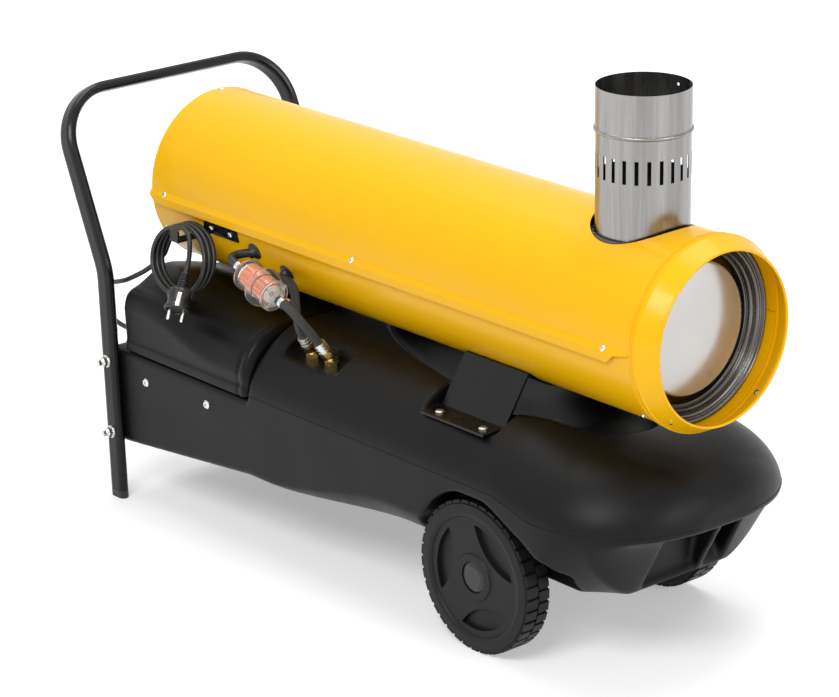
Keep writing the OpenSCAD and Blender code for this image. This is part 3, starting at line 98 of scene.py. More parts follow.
def make_camera():
    """The photograph's camera: turned about Z, tipped down and then rolled."""
    a, p, r = CAMERA_AZIMUTH, CAMERA_PITCH, CAMERA_ROLL
    level = Vector((math.cos(a), math.sin(a), 0))
    ahead = Vector((-math.sin(a) * math.cos(p), math.cos(a) * math.cos(p), -math.sin(p)))
    upright = level.cross(ahead)
    right = level * math.cos(r) + upright * math.sin(r)
    up = upright * math.cos(r) - level * math.sin(r)
    data = bpy.data.cameras.new("photo_camera")
    data.sensor_width = SENSOR_W
    data.lens = data.sensor_width * FOCAL_PX / PHOTO_W
    data.clip_start, data.clip_end = CLIP_M
    camera = bpy.data.objects.new("photo_camera", data)
    turn = Matrix((right, up, -ahead)).transposed()
    camera.matrix_world = Matrix.Translation(CAMERA_AT * MM) @ turn.to_4x4()
    bpy.context.scene.collection.objects.link(camera)
    bpy.context.scene.camera = camera


make_camera()


# ---------------------------------------------------------------- materials
# Blender's Roughness of a noise is how much its finer layers weigh
NOISE_ROUGHNESS = 0.55


class Nodes:
    """A small writer for the node tree of one material."""

    def __init__(self, name):
        self.material = bpy.data.materials.new(name)
        self.material.use_nodes = True
        self.tree = self.material.node_tree
        self.shader = self.tree.nodes["Principled BSDF"]
        self.coords = self.tree.nodes.new("ShaderNodeTexCoord")

    def add(self, kind, **inputs):
        """A node of a kind; each name is one of its settings or else an input."""
        node = self.tree.nodes.new("ShaderNode" + kind)
        for key, value in inputs.items():
            if hasattr(node, key):
                setattr(node, key, value)
            else:
                self.put(node.inputs[key.replace("_", " ")], value)
        return node

    def put(self, socket, value):
        """Links a socket to an input, or sets the input to a value."""
        if isinstance(value, bpy.types.NodeSocket):
            self.tree.links.new(value, socket)
        else:
            socket.default_value = value

    def place(self, stretch=(1, 1, 1)):
        """Object coordinates, stretched."""
        mapping = self.add("Mapping", Vector=self.coords.outputs["Object"])
        mapping.inputs["Scale"].default_value = stretch
        return mapping.outputs["Vector"]

    def noise(self, scale, detail, stretch=(1, 1, 1)):
        node = self.add("TexNoise", Vector=self.place(stretch), Scale=scale, Detail=detail)
        node.inputs["Roughness"].default_value = NOISE_ROUGHNESS
        return node.outputs["Fac"]

    def ranged(self, value, low, high, new_low, new_high):
        node = self.add("MapRange", Value=value)
        for key, number in zip(("From Min", "From Max", "To Min", "To Max"),
                               (low, high, new_low, new_high)):
            node.inputs[key].default_value = number
        return node.outputs["Result"]

    def operate(self, kind, operation, a, b):
        """The node of an operation on two inputs."""
        node = self.tree.nodes.new("ShaderNode" + kind)
        node.operation = operation
        self.put(node.inputs[0], a)
        self.put(node.inputs[1], b)
        return node

    def math(self, operation, a, b=0.0):
        return self.operate("Math", operation, a, b).outputs[0]

    def reach(self, a, b):
        """The length of a vector from its two parts."""
        squares = [self.math("MULTIPLY", part, part) for part in (a, b)]
        return self.math("SQRT", self.math("ADD", *squares))

    def mix(self, share, a, b):
        node = self.tree.nodes.new("ShaderNodeMix")
        node.data_type = "RGBA"
        self.put(node.inputs["Factor"], share)
        self.put(node.inputs[6], a)
        self.put(node.inputs[7], b)
        return node.outputs[2]

    def bump(self, height, distance, under=None):
        node = self.add("Bump", Height=height, Distance=distance)
        if under is not None:
            self.put(node.inputs["Normal"], under)
        return node.outputs["Normal"]

    def set(self, **values):
        for key, value in values.items():
            self.put(self.shader.inputs[key.replace("_", " ")], value)


def shade(colour, share):
    """A colour times a share, as a socket takes it."""
    return tuple(min(1.0, c * share) for c in colour[:3]) + (1.0,)


def finish_of(name, colour, rough, metal=0.0, patch=6, grain=700, depth=0.00005, spread=0.05,
              streak=(1, 1, 1), vary=0.08, **extra):
    """A finish with cloudy colour, uneven gloss and a fine grain.

    patch and grain are scales of noise, depth is the grain's in metres, spread is how far
    the roughness strays from rough, and vary how far the colour strays from colour.
    """
    n = Nodes(name)
    cloud = n.noise(patch, 4, streak)
    fine = n.noise(grain, 2, streak)
    tone = n.mix(n.ranged(cloud, 0.3, 0.7, 0, 1), shade(colour, 1 - vary), shade(colour, 1 + vary))
    tone = n.mix(n.ranged(fine, 0.35, 0.65, 0, 0.25), tone, shade(colour, 1 - 2 * vary))
    gloss = n.ranged(n.noise(patch * 5, 5, streak), 0.3, 0.7, rough - spread, rough + spread)
    n.set(Base_Color=tone, Metallic=metal, Roughness=gloss, Normal=n.bump(fine, depth))
    n.set(**extra)
    return n.material


def paint_finish():
    """Stove enamel: a thin clear coat over a faint orange peel, with darker specks."""
    n = Nodes("casing_yellow")
    yellow = (0.94, 0.495, 0.0, 1)
    cloud = n.ranged(n.noise(3.5, 3), 0.3, 0.7, 0, 1)
    tone = n.mix(cloud, shade(yellow, 0.96), yellow)
    specks = n.ranged(n.noise(260, 2), 0.70, 0.78, 0, 0.25)
    tone = n.mix(specks, tone, shade(yellow, 0.8))
    peel = n.noise(420, 1)
    gloss = n.ranged(n.noise(18, 5), 0.3, 0.7, 0.27, 0.36)
    n.set(Base_Color=tone, Roughness=gloss, Normal=n.bump(peel, 0.00005))
    n.set(Coat_Weight=0.12, Coat_Roughness=0.12, Specular_IOR_Level=0.2)
    return n.material


def moulded_finish(name, colour, rough, grain, depth, haze):
    """Blow-moulded plastic: leather-like grain, and a paler, duller haze in patches."""
    n = Nodes(name)
    haze_share = n.ranged(n.noise(5, 5), 0.42, 0.75, 0, haze)
    tone = n.mix(haze_share, colour, shade(colour, 1.5))
    cells = n.add("TexVoronoi", Vector=n.place(), Scale=grain, feature="SMOOTH_F1")
    cells.inputs["Smoothness"].default_value = 0.6
    tiny = n.noise(grain * 1.6, 3)
    height = n.math("ADD", n.math("MULTIPLY", cells.outputs["Distance"], 0.8), tiny)
    scuff = n.ranged(n.noise(60, 4, (1, 1, 5)), 0.62, 0.72, 0, 0.06)
    gloss = n.math("ADD", n.ranged(n.noise(14, 5), 0.3, 0.7, rough - 0.05, rough + 0.06), scuff)
    waves = n.bump(n.noise(9, 2), 0.0012)
    n.set(Base_Color=tone, Roughness=gloss, Normal=n.bump(height, depth, waves))
    n.set(Specular_IOR_Level=0.17)
    return n.material


# threads of the hoses' sleeve along a metre and round the hose
WEAVE_PER_M, WEAVE_ROUND = 260, 12


def braid_finish():
    """A woven sleeve: two sets of slanting threads, painted lighter on their crests and near black
    between them as painted highlight and shade; the UV runs along and round the hose.
    """
    n = Nodes("hose_rubber")
    split = n.add("SeparateXYZ", Vector=n.coords.outputs["UV"])
    along = n.math("MULTIPLY", split.outputs["X"], ROUND * WEAVE_PER_M)
    about = n.math("MULTIPLY", split.outputs["Y"], ROUND * WEAVE_ROUND)
    threads = [n.math("SINE", n.math(way, along, about)) for way in ("ADD", "SUBTRACT")]
    weave = n.math("MAXIMUM", *threads)
    # painted highlight and shade: lighter grey on the thread crests, near black in the gaps
    # between threads
    tone = n.mix(n.ranged(weave, -0.4, 1, 0, 1), (0.003, 0.003, 0.003, 1),
                 (0.075, 0.075, 0.078, 1))
    tone = n.mix(n.ranged(n.noise(90, 4), 0.4, 0.7, 0, 0.5), tone, (0.02, 0.02, 0.022, 1))
    n.set(Base_Color=tone, Roughness=0.6, Normal=n.bump(weave, 0.0007))
    return n.material


def bowl_finish():
    """Clear plastic, lightly smeared."""
    n = Nodes("clear_bowl")
    smear = n.ranged(n.noise(60, 4), 0.35, 0.7, 0.05, 0.16)
    n.set(Base_Color=(0.96, 0.95, 0.93, 1), Roughness=smear, IOR=1.3, Transmission_Weight=0.93)
    n.set(Normal=n.bump(n.noise(120, 2), 0.00004))
    return n.material


GROOVE_PITCH_M = 0.0034


def ring_finish():
    """Dull spun steel with fine grooves round the casing's axis, painted darker in step with the
    grooves as painted shade.
    """
    n = Nodes("grey_ring")
    split = n.add("SeparateXYZ", Vector=n.coords.outputs["Object"])
    y, z = split.outputs["Y"], n.math("SUBTRACT", split.outputs["Z"], axis_h * MM)
    groove = n.math("SINE", n.math("MULTIPLY", n.reach(y, z), ROUND / GROOVE_PITCH_M))
    cloud = n.ranged(n.noise(16, 4), 0.3, 0.7, 0, 1)
    tone = n.mix(cloud, (0.11, 0.107, 0.105, 1), (0.17, 0.165, 0.16, 1))
    # painted shade: each groove's ring is darkened in step with its bump
    tone = n.mix(n.ranged(groove, -1, 1, 0, 0.5), tone, (0.06, 0.058, 0.056, 1))
    n.set(Base_Color=tone, Metallic=0.85, Roughness=n.ranged(n.noise(80, 3), 0.3, 0.7, 0.24, 0.34),
          Normal=n.bump(groove, 0.0003))
    return n.material


PLEATS = 34


def element_finish():
    """Pleated paper soaked with oil; the pleats run along the filter, with painted shade in their
    valleys and a faint painted orange glow.
    """
    n = Nodes("filter_orange")
    axis = Vector(FILTER_END - FILTER_AT).normalized()
    side = axis.cross(Vector((0, 0, 1))).normalized()
    spot = n.operate("VectorMath", "SUBTRACT", n.coords.outputs["Object"],
                    tuple(FILTER_AT * MM)).outputs["Vector"]
    across = [n.operate("VectorMath", "DOT_PRODUCT", spot, tuple(way)).outputs["Value"]
              for way in (side, axis.cross(side))]
    pleat = n.math("SINE", n.math("MULTIPLY", n.math("ARCTAN2", *across), PLEATS))
    tone = n.mix(n.ranged(n.noise(70, 4), 0.3, 0.7, 0, 1), (0.80, 0.15, 0.02, 1),
                 (0.94, 0.25, 0.04, 1))
    # painted shade: the pleats' valleys are darkened toward deep brown
    tone = n.mix(n.ranged(pleat, -1, 0.4, 0.6, 0), tone, (0.36, 0.05, 0.01, 1))
    n.set(Base_Color=tone, Roughness=0.6, Normal=n.bump(pleat, 0.0006))
    # painted glow: the element shines faintly orange of itself
    n.set(Emission_Color=(1.0, 0.26, 0.04, 1), Emission_Strength=0.12)
    return n.material


def lamp_finish():
    """Amber plastic that lets some light through."""
    n = Nodes("amber_plastic")
    tone = n.mix(n.noise(200, 2), (0.85, 0.25, 0.02, 1), (0.95, 0.4, 0.05, 1))
    n.set(Base_Color=tone, Roughness=0.2, Transmission_Weight=0.4)
    return n.material


FINISHES = {
    "casing_yellow": paint_finish(),
    # painted reflection: the flue's colour strays widely in long streaks up its height, lighter
    # and darker grey bands
    "flue_steel": finish_of("flue_steel", (0.29, 0.285, 0.28), 0.27, 1.0, 22, 420, 0.00003, 0.06,
                            (1, 1, 0.03), 0.3, Anisotropic=0.5),
    "drum_steel": finish_of("drum_steel", (0.50, 0.495, 0.48), 0.2, 0.72, 9, 300, 0.000002, 0.03,
                            vary=0.04),
    "grey_ring": ring_finish(),
    "black_steel": finish_of("black_steel", (0.005, 0.005, 0.0055), 0.26, 0.0, 9, 900, 0.00006,
                             0.06, vary=0.2, Specular_IOR_Level=0.22, Coat_Weight=0.12,
                             Coat_Roughness=0.1),
    "zinc_steel": finish_of("zinc_steel", (0.72, 0.72, 0.70), 0.24, 1.0, 120, 900, 0.00004, 0.08),
    "tank_plastic": moulded_finish("tank_plastic", (0.0042, 0.0042, 0.0044, 1), 0.38, 900,
                                   0.00012, 0.2),
    "cover_plastic": moulded_finish("cover_plastic", (0.0036, 0.0036, 0.0038, 1), 0.34, 1300,
                                    0.00008, 0.2),
    "grey_plastic": finish_of("grey_plastic", (0.09, 0.09, 0.095), 0.45, 0, 12, 900, 0.0001),
    "black_plastic": finish_of("black_plastic", (0.011, 0.011, 0.012), 0.36, 0, 14, 900, 0.0001,
                               vary=0.2),
    "wheel_plastic": moulded_finish("wheel_plastic", (0.011, 0.011, 0.0115, 1), 0.42, 1200,
                                    0.0001, 0.25),
    "red_plastic": finish_of("red_plastic", (0.6, 0.02, 0.015), 0.35, 0, 20, 900, 0.00006),
    "amber_plastic": lamp_finish(),
    "motor_metal": finish_of("motor_metal", (0.10, 0.10, 0.11), 0.45, 0.4, 10, 500, 0.0002),
    "fan_metal": finish_of("fan_metal", (0.62, 0.62, 0.63), 0.34, 1.0, 8, 300, 0.00003),
    "pump_metal": finish_of("pump_metal", (0.55, 0.55, 0.56), 0.42, 1.0, 12, 400, 0.00012),
    "copper_pipe": finish_of("copper_pipe", (0.80, 0.36, 0.18), 0.30, 1.0, 30, 400, 0.00003),
    "brass_fitting": finish_of("brass_fitting", (0.80, 0.55, 0.20), 0.24, 1.0, 60, 600, 0.00004,
                               0.08),
    "ceramic_white": finish_of("ceramic_white", (0.82, 0.80, 0.76), 0.2, 0, 20, 500, 0.00003),
    "clear_bowl": bowl_finish(),
    "filter_orange": element_finish(),
    "hose_rubber": braid_finish(),
    "cord_rubber": finish_of("cord_rubber", (0.012, 0.012, 0.013), 0.42, 0, 30, 1400, 0.00008,
                             vary=0.2),
    "white_plastic": finish_of("white_plastic", (0.75, 0.75, 0.73), 0.4, 0, 20, 700, 0.00006),
}


# ---------------------------------------------------------------- geometry helpers
def unit(v):
    v = np.asarray(v, float)
    return v / np.linalg.norm(v)


def mix(a, b, t):
    return a + (b - a) * t


def ease(v, a, b):
    """A smooth step from 0 at a to 1 at b."""
    t = np.clip((v - a) / (b - a), 0, 1)
    return t * t * (3 - 2 * t)


def spline(points, steps):
    """A Catmull-Rom curve through the points."""
    p = [np.asarray(q, float) for q in points]
    out = []
    for i in range(len(p) - 1):
        a, b, c, d = p[max(i - 1, 0)], p[i], p[i + 1], p[min(i + 2, len(p) - 1)]
        for k in range(steps):
            t = k / steps
            out.append(0.5 * (2 * b + (c - a) * t + (2 * a - 5 * b + 4 * c - d) * t * t
                              + (3 * b - a - 3 * c + d) * t ** 3))
    return np.array(out + [p[-1]])


def bend(a, u, b, v, steps):
    """A cubic from a to b that leaves along u and arrives along v."""
    t = np.linspace(0, 1, steps + 1)[:, None]
    s = 1 - t
    return a * s * s * (1 + 2 * t) + u * t * s * s + b * t * t * (3 - 2 * t) - v * t * t * s


BEVEL_STEPS, BEVEL_ANGLE = 2, math.radians(35)


def make_piece(name, points, faces, body, finish, uv=None, bevel=0.0):
    """An object from millimetre points, with outward normals; no body leaves it unbound."""
    mesh = bpy.data.meshes.new(name)
    mesh.from_pydata([tuple(p) for p in np.asarray(points, float) * MM], [], faces)
    mesh.validate()
    outward = bmesh.new()
    outward.from_mesh(mesh)
    bmesh.ops.recalc_face_normals(outward, faces=outward.faces)
    outward.to_mesh(mesh)
    outward.free()
    if uv is not None:
        layer = mesh.uv_layers.new(name="UVMap")
        for loop in mesh.loops:
            layer.data[loop.index].uv = uv[loop.vertex_index]
    mesh.polygons.foreach_set("use_smooth", [True] * len(mesh.polygons))
    piece = bpy.data.objects.new(name, mesh)
    bpy.context.scene.collection.objects.link(piece)
    mesh.materials.append(FINISHES[finish])
    if bevel:
        edge = piece.modifiers.new("edge", "BEVEL")
        edge.width, edge.segments, edge.limit_method = bevel * MM, BEVEL_STEPS, "ANGLE"
        edge.angle_limit = BEVEL_ANGLE
    if body is not None:
        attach(piece, body)
    return piece


def bake(piece):
    """Applies the modifiers of a piece."""
    graph = bpy.context.evaluated_depsgraph_get()
    done = bpy.data.meshes.new_from_object(piece.evaluated_get(graph))
    old = piece.data
    piece.modifiers.clear()
    piece.data = done
    bpy.data.meshes.remove(old)


def sharp_edges(piece, degrees):
    """Keeps the edges steeper than this crisp while the rest shades smooth."""
    piece.data.set_sharp_from_angle(angle=math.radians(degrees))


def join_rings(rings, loop=False):
    """Points and faces of a skin over equal rings, closed by end faces or into a loop."""
    n, m = len(rings[0]), len(rings)
    points = np.concatenate(rings)
    faces = []
    for i in range(m if loop else m - 1):
        k = (i + 1) % m
        for j in range(n):
            l = (j + 1) % n
            faces.append((i * n + j, k * n + j, k * n + l, i * n + l))
    if not loop:
        faces.append(tuple(range(n - 1, -1, -1)))
        faces.append(tuple((m - 1) * n + j for j in range(n)))
    return points, [f[::-1] for f in faces]


def frames_along(path, start):
    """A tangent and two cross directions at each point, kept from turning."""
    path = np.asarray(path, float)
    tangents = np.gradient(path, axis=0)
    tangents /= np.linalg.norm(tangents, axis=1)[:, None]
    side = np.asarray(start, float)
    out = []
    for t in tangents:
        side = unit(side - t * (side @ t))
        out.append((t, side, np.cross(t, side)))
    return out


def make_tube(name, path, radius, body, finish, sides, start=(0, 0, 1)):
    """A round tube along the path, closed at both ends; its UV is the length and the turn."""
    path = np.asarray(path, float)
    angles = np.linspace(0, ROUND, sides, endpoint=False)
    rings = [p + radius * (np.outer(np.cos(angles), s) + np.outer(np.sin(angles), u))
             for p, (_, s, u) in zip(path, frames_along(path, start))]
    gaps = np.linalg.norm(np.diff(path, axis=0), axis=1)
    length = np.concatenate([[0], np.cumsum(gaps)]) * MM
    uv = [(length[i], j / sides) for i in range(len(path)) for j in range(sides)]
    points, faces = join_rings(rings)
    return make_piece(name, points, faces, body, finish, uv)


def placed(points, start, toward):
    """Points of a form that stands on Z, moved to start and turned toward a direction."""
    turn = Vector((0, 0, 1)).rotation_difference(Vector(unit(toward))).to_matrix()
    return np.asarray(points, float) @ np.array(turn).T + np.asarray(start, float)


def lathe_rings(profile, sides):
    """Rings of a turned form on Z from (radius, height) pairs."""
    angles = np.linspace(0, ROUND, sides, endpoint=False)
    circle = np.stack([np.cos(angles), np.sin(angles), 0 * angles], 1)
    return [circle * max(r, 0.01) + [0, 0, z] for r, z in profile]


def make_turned(name, profile, start, toward, body, finish, sides=64, loop=False, crisp=32):
    """A turned form from start toward a direction; edges steeper than crisp stay crisp."""
    points, faces = join_rings(lathe_rings(profile, sides), loop)
    piece = make_piece(name, placed(points, start, toward), faces, body, finish)
    sharp_edges(piece, crisp)
    return piece


def dress(finish, *nodes):
    """Gives CAD nodes a finish."""
    for node in nodes:
        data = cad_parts[node].data
        data.materials.clear()
        data.materials.append(FINISHES[finish])


# ---------------------------------------------------------------- mains cord
CORD_D = 7.0
# the coil on the hook: its radii, its first angle and whole turn in degrees, how far it
# reaches out from its first turn, and how much it leans back toward its top
COIL_CENTRE = at(-381, -150, 373)
COIL_RX, COIL_RZ, COIL_START, COIL_TURN = 56.0, 46.0, 170.0, 1150.0
COIL_DEPTH, COIL_LEAN, COIL_STEPS = 26, 0.25, 460


def coil_path():
    """The turns on the hook, each a little farther out from the casing than the last."""
    t = np.linspace(0, 1, COIL_STEPS + 1)
    angle = np.radians(COIL_START - COIL_TURN * t)
    z = COIL_RZ * np.sin(angle)
    y = COIL_DEPTH / 2 - COIL_DEPTH * t + COIL_LEAN * z
    return COIL_CENTRE + np.stack([COIL_RX * np.cos(angle), y, z], 1)


# the cord from the gland to the coil, and from the coil to the plug, counted as in at()
LEAD = [(-482, -150, 237), (-502, -150, 237), (-522, -150, 237), (-541, -150.5, 239),
        (-558, -152, 245), (-569.5, -154, 256), (-573, -157, 270), (-568, -160, 284),
        (-556, -164, 296), (-537, -168, 306), (-512, -172, 314), (-490, -172, 322),
        (-473, -168, 331), (-460, -160, 340), (-449.5, -150, 351), (-441, -140, 364)]
TAIL = [(-378.5, -152.6, 420), (-366, -155.5, 419.6), (-355.5, -159, 415.5),
        (-349.5, -161.5, 407.5), (-347.5, -163.5, 396.5), (-347, -165.5, 386),
        (-345.7, -169.6, 375.4), (-343.3, -174.5, 367.8), (-342.6, -175.6, 366.3)]
PLUG_AT, PLUG_TIP = at(-343.3, -174.5, 367.8), at(-319.5, -214, 315.1)
# the direction from one pin to the other, before it is squared to the plug's axis
PIN_LINE = (0.688, 0.695, -0.21)


def make_cord():
    """The cord from the gland over the hook to the plug, in one piece, and its path."""
    coil = coil_path()
    lead = spline([at(*p) for p in LEAD] + [coil[0] - [1.5, 1.5, 6.9], coil[6]], 8)[:-8]
    tail = spline([coil[-8]] + [at(*p) for p in TAIL], 8)[8:]
    path = np.concatenate([lead, coil[6:-8], tail])
    cord = make_tube("mains_cord", path, CORD_D / 2, "heater", "cord_rubber", 18)
    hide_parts("cord_lead", "cord_coil", "cord_tail")
    return cord, path


RELIEF_RIBS, GRIP_RIBS = 5, 14
# along the plug: the middle of its grip's ribs and of its clips, and the foot of its pins
RIBS_AT, CLIPS_AT, PINS_AT = 34, 46, 54.3
# out from its axis: the ribs and clips, and the pins
GRIP_OUT, PINS_OUT = 17.7, 9.5


def make_plug():
    """A moulded plug: ribbed bend relief, waisted grip, collar, two pins and earth clips."""
    axis = PLUG_TIP - PLUG_AT
    relief = [(0.2, 0), (4.4, 0), (4.6, 1)]
    for i in range(RELIEF_RIBS):
        z, r = 3 + 3.8 * i, 4.8 + 0.42 * i
        relief += [(r, z - 1), (r + 0.9, z - 0.5), (r + 0.9, z + 1.0), (r - 0.1, z + 1.4)]
    grip = [(7, 22), (9, 23.5), (12.5, 25), (16.2, 27.8), (17.8, 31), (18, 36), (17, 40),
            (16.1, 43), (15.9, 48), (16.8, 51), (18.2, 53), (18.5, 54), (18.5, 56.4),
            (17.9, 57), (14.6, 57), (14.2, 54.5), (0.2, 54.5)]
    body = make_turned("mains_plug_body", relief + grip, PLUG_AT, axis, "heater",
                       "black_plastic", 72, crisp=50)
    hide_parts("mains_plug")
    pieces = [body]
    across = unit(np.cross(PIN_LINE, axis))
    side = unit(np.cross(axis, across))
    for i, s in enumerate((-1, 1)):
        foot = PLUG_AT + unit(axis) * PINS_AT + side * PINS_OUT * s
        pin = [(0.2, 0), (2.4, 0), (2.4, 16), (2.1, 17.2), (1.2, 18), (0.2, 18.2)]
        pieces.append(make_turned(f"mains_plug_pin_{i}", pin, foot, axis, "heater",
                                  "zinc_steel", 28, crisp=60))
        clip = rect_bar(PLUG_AT + unit(axis) * CLIPS_AT + across * GRIP_OUT * s, axis, side,
                        20, 6, 1.6)
        pieces.append(make_piece(f"mains_plug_clip_{i}", *clip, "heater", "zinc_steel", bevel=0.4))
    ribs = []
    for k in range(GRIP_RIBS):
        turn = ROUND * k / GRIP_RIBS
        out = side * math.cos(turn) + across * math.sin(turn)
        ribs.append(rect_bar(PLUG_AT + unit(axis) * RIBS_AT + out * GRIP_OUT, axis,
                             np.cross(unit(axis), out), 9, 1.6, 1.6))
    points, faces = merge(ribs)
    pieces.append(make_piece("mains_plug_ribs", points, faces, "heater", "black_plastic",
                             bevel=0.4))
    return pieces


def rect_bar(centre, along, wide, length, width, thick):
    """Points and faces of a bar with its length along one direction and width along another."""
    a = unit(along)
    w = unit(np.asarray(wide, float) - a * (np.asarray(wide) @ a))
    t = np.cross(a, w)
    corners = [centre + a * length / 2 * i + w * width / 2 * j + t * thick / 2 * k
               for i in (-1, 1) for j in (-1, 1) for k in (-1, 1)]
    faces = [(0, 1, 3, 2), (4, 6, 7, 5), (0, 4, 5, 1), (2, 3, 7, 6), (0, 2, 6, 4), (1, 5, 7, 3)]
    return np.array(corners), faces


def merge(parts):
    """Several (points, faces) as one."""
    points, faces, base = [], [], 0
    for p, f in parts:
        points.append(p)
        faces += [tuple(base + i for i in face) for face in f]
        base += len(p)
    return np.concatenate(points), faces


cord, cord_path = make_cord()
plug_pieces = make_plug()


# ---------------------------------------------------------------- tank
# heights of the mould seam, the belly and the top, and the length of the rounded bow
SEAM_H, BELLY_H, TANK_TOP, BOW_L = 231.0, 112.0, 320.0, 165.0
bow_x = tank_tip - 0.985 * BOW_L
step_x = cover_high[0]
nose_seam = SEAM_H - 17
# the hand-hold under the bow: where its lip starts, where it is full, and its top
lip_x, recess_x = tank_tip - 80, tank_tip - 35
recess_top = nose_seam - 21


def past_step(x):
    """0 on the rear deck and 1 in front of the step up from it."""
    return ease(x, step_x + 1, step_x + 5)


def round_off(t):
    """A share that falls from 1 to 0 along a blunt curve."""
    return (1 - np.clip(t, 0, 1) ** 2.3) ** 0.42


def bow(x):
    """0 up to the bow and 1 at its tip."""
    return np.clip((x - bow_x) / BOW_L, 0, 1)


def tank_half(x):
    """Half the tank's width."""
    return side_y * round_off(bow(x))


def tank_seam(x):
    """Height of the mould seam, which steps up from the deck and dips at the bow."""
    rear = mix(deck_h - 8, SEAM_H, past_step(x))
    return mix(rear, nose_seam, ease(x, x_axle + 34, x_axle + 131))


def tank_low_edge(x):
    """Height of the belly, which hangs lower toward the rear."""
    return mix(BELLY_H - 30, BELLY_H, np.clip((x - x_rear) / 286, 0, 1))


def tank_lip(x):
    """How far the belly is lifted toward the tip."""
    full = recess_top - BELLY_H
    if x < lip_x:
        return 0.0
    if x < recess_x:
        return full * (x - lip_x) / (recess_x - lip_x)
    return mix(full, nose_seam - 8 - BELLY_H, ease(x, recess_x, tank_tip))


def tank_waist(x):
    """1 where the sides tuck in most, between the middle and the wheels."""
    return ease(x, x_rear + 320, x_rear + 596) * (1 - ease(x, x_axle - 40, x_axle + 60))


def tank_keel(x):
    """1 under the bow, where the section narrows down to a keel."""
    return ease(x, x_axle + 60, x_axle + 190)


def tank_rise(x):
    """The crown's height above the seam."""
    rise = mix(8, TANK_TOP - SEAM_H - 8 * ease(x, x_axle - 104, x_axle + 6), past_step(x))
    return rise * round_off((x - bow_x - 8) / (BOW_L - 8))


def tank_inset(x):
    """The width over which the crown curves down to the seam."""
    return min(mix(8, 97, past_step(x)), tank_half(x) * 0.7)


def tank_crown(x, y):
    """Height of the tank's top, without the trough."""
    c = np.clip(1 - (tank_half(x) - y) / tank_inset(x), 0, 1)
    return tank_seam(x) + tank_rise(x) * (1 - c ** 1.667) ** 0.6


# the trough under the casing: its deepest place, then its lengths, half width and depth
trough_x = x_axle - 54
TROUGH_FRONT, TROUGH_REAR = 185.0, 310.0
TROUGH_W, TROUGH_LEAST, TROUGH_DEPTH = 112.0, 8.0, 38.0


def trough_share(x):
    """0 at the deepest place and 1 at either end."""
    return (x - trough_x) / TROUGH_FRONT if x > trough_x else (trough_x - x) / TROUGH_REAR


def trough_half(x):
    """Half the trough's width."""
    power, t = (2 if x > trough_x else 1.5), trough_share(x)
    if t >= 1:
        return TROUGH_LEAST
    return max(TROUGH_LEAST, TROUGH_W * (1 - t ** power) ** (1 / power))


def trough_drop(x):
    """The trough's depth."""
    t = trough_share(x)
    return TROUGH_DEPTH * math.sqrt(1 - t * t) if t < 1 else 0.0


# points of each stretch of a section, and the power that makes its corners blunt
UNDER_N, CROWN_N, DISH_N = 12, 40, 16
BLUNT = 1.4


def tank_ring(x):
    """The tank's section at x, from the middle of the belly round to it again."""
    w, zb = tank_half(x), tank_low_edge(x) + tank_lip(x)
    keel = tank_keel(x)
    edge = mix(zb + 8 + 44 * tank_waist(x), nose_seam - 6, keel)
    ze = max(min(edge, tank_seam(x) - 4), zb + 1)
    under = min(mix(8, 75, tank_waist(x)) + 82 * keel, w * 0.7)
    inner = min(trough_half(x), w * 0.6)
    half = [(0, zb)]
    for a in np.linspace(math.pi / 2, 0, UNDER_N + 1):
        c, s = abs(math.cos(a)) ** BLUNT, math.sin(a) ** BLUNT
        half.append((w - under * (1 - c), ze - (ze - zb) * s))
    for a in np.linspace(0, math.pi / 2, CROWN_N + 1):
        y = w - (w - inner) * (1 - abs(math.cos(a)) ** BLUNT)
        half.append((y, tank_crown(x, y) if a > 0 else tank_seam(x)))
    for i in range(1, DISH_N + 1):
        s = 1 - i / DISH_N
        half.append((inner * s, tank_crown(x, inner * s) - trough_drop(x) * (1 - s ** 4)))
    ring = [(x, y, z) for y, z in half] + [(x, -y, z) for y, z in half[-2:0:-1]]
    return np.array(ring, float)


# a wheel arch, as (x, z) from the axle; then the flat pads let into the tank's top
ARCH = [(-108, -30), (-108, 20), (-98, 52), (-86, 66), (-76, 78), (-68, 88), (-51, 101.5),
        (-31, 111.5), (-12, 114.5), (26, 114.5), (44, 109.5), (63, 100.5), (81, 91.5),
        (100, 82.5), (118, 71.5), (136, 61.5), (147, 50.5), (156, 43.5), (146, 7.5), (140, -30)]
ARCH_OUT_Y = 260.0
arch_y = side_y - 62.0
pad_y = (side_y - 86, side_y - 15)
pad_h = TANK_TOP - 30
PAD_CLEAR = 60
bracket_low, bracket_high = box_mm("front_bracket")
fit_low, fit_high = box_mm("hose_fittings")
fit_x = [fit_low[0] + 10, fit_high[0] - 10]
cap_low, cap_high = box_mm("filler_cap")
cap_x, cap_y = (cap_low[0] + cap_high[0]) / 2, (cap_low[1] + cap_high[1]) / 2


def prism(outline, y0, y1):
    """Points and faces of an (x, z) outline drawn out from y0 to y1."""
    n = len(outline)
    points = [(x, y0, z) for x, z in outline] + [(x, y1, z) for x, z in outline]
    faces = [(i, (i + 1) % n, n + (i + 1) % n, n + i) for i in range(n)]
    faces += [tuple(range(n - 1, -1, -1)), tuple(range(n, 2 * n))]
    return np.array(points, float), faces


def block(x0, x1, y0, y1, z0, z1):
    """Points and faces of a box."""
    return prism([(x0, z0), (x1, z0), (x1, z1), (x0, z1)], y0, y1)


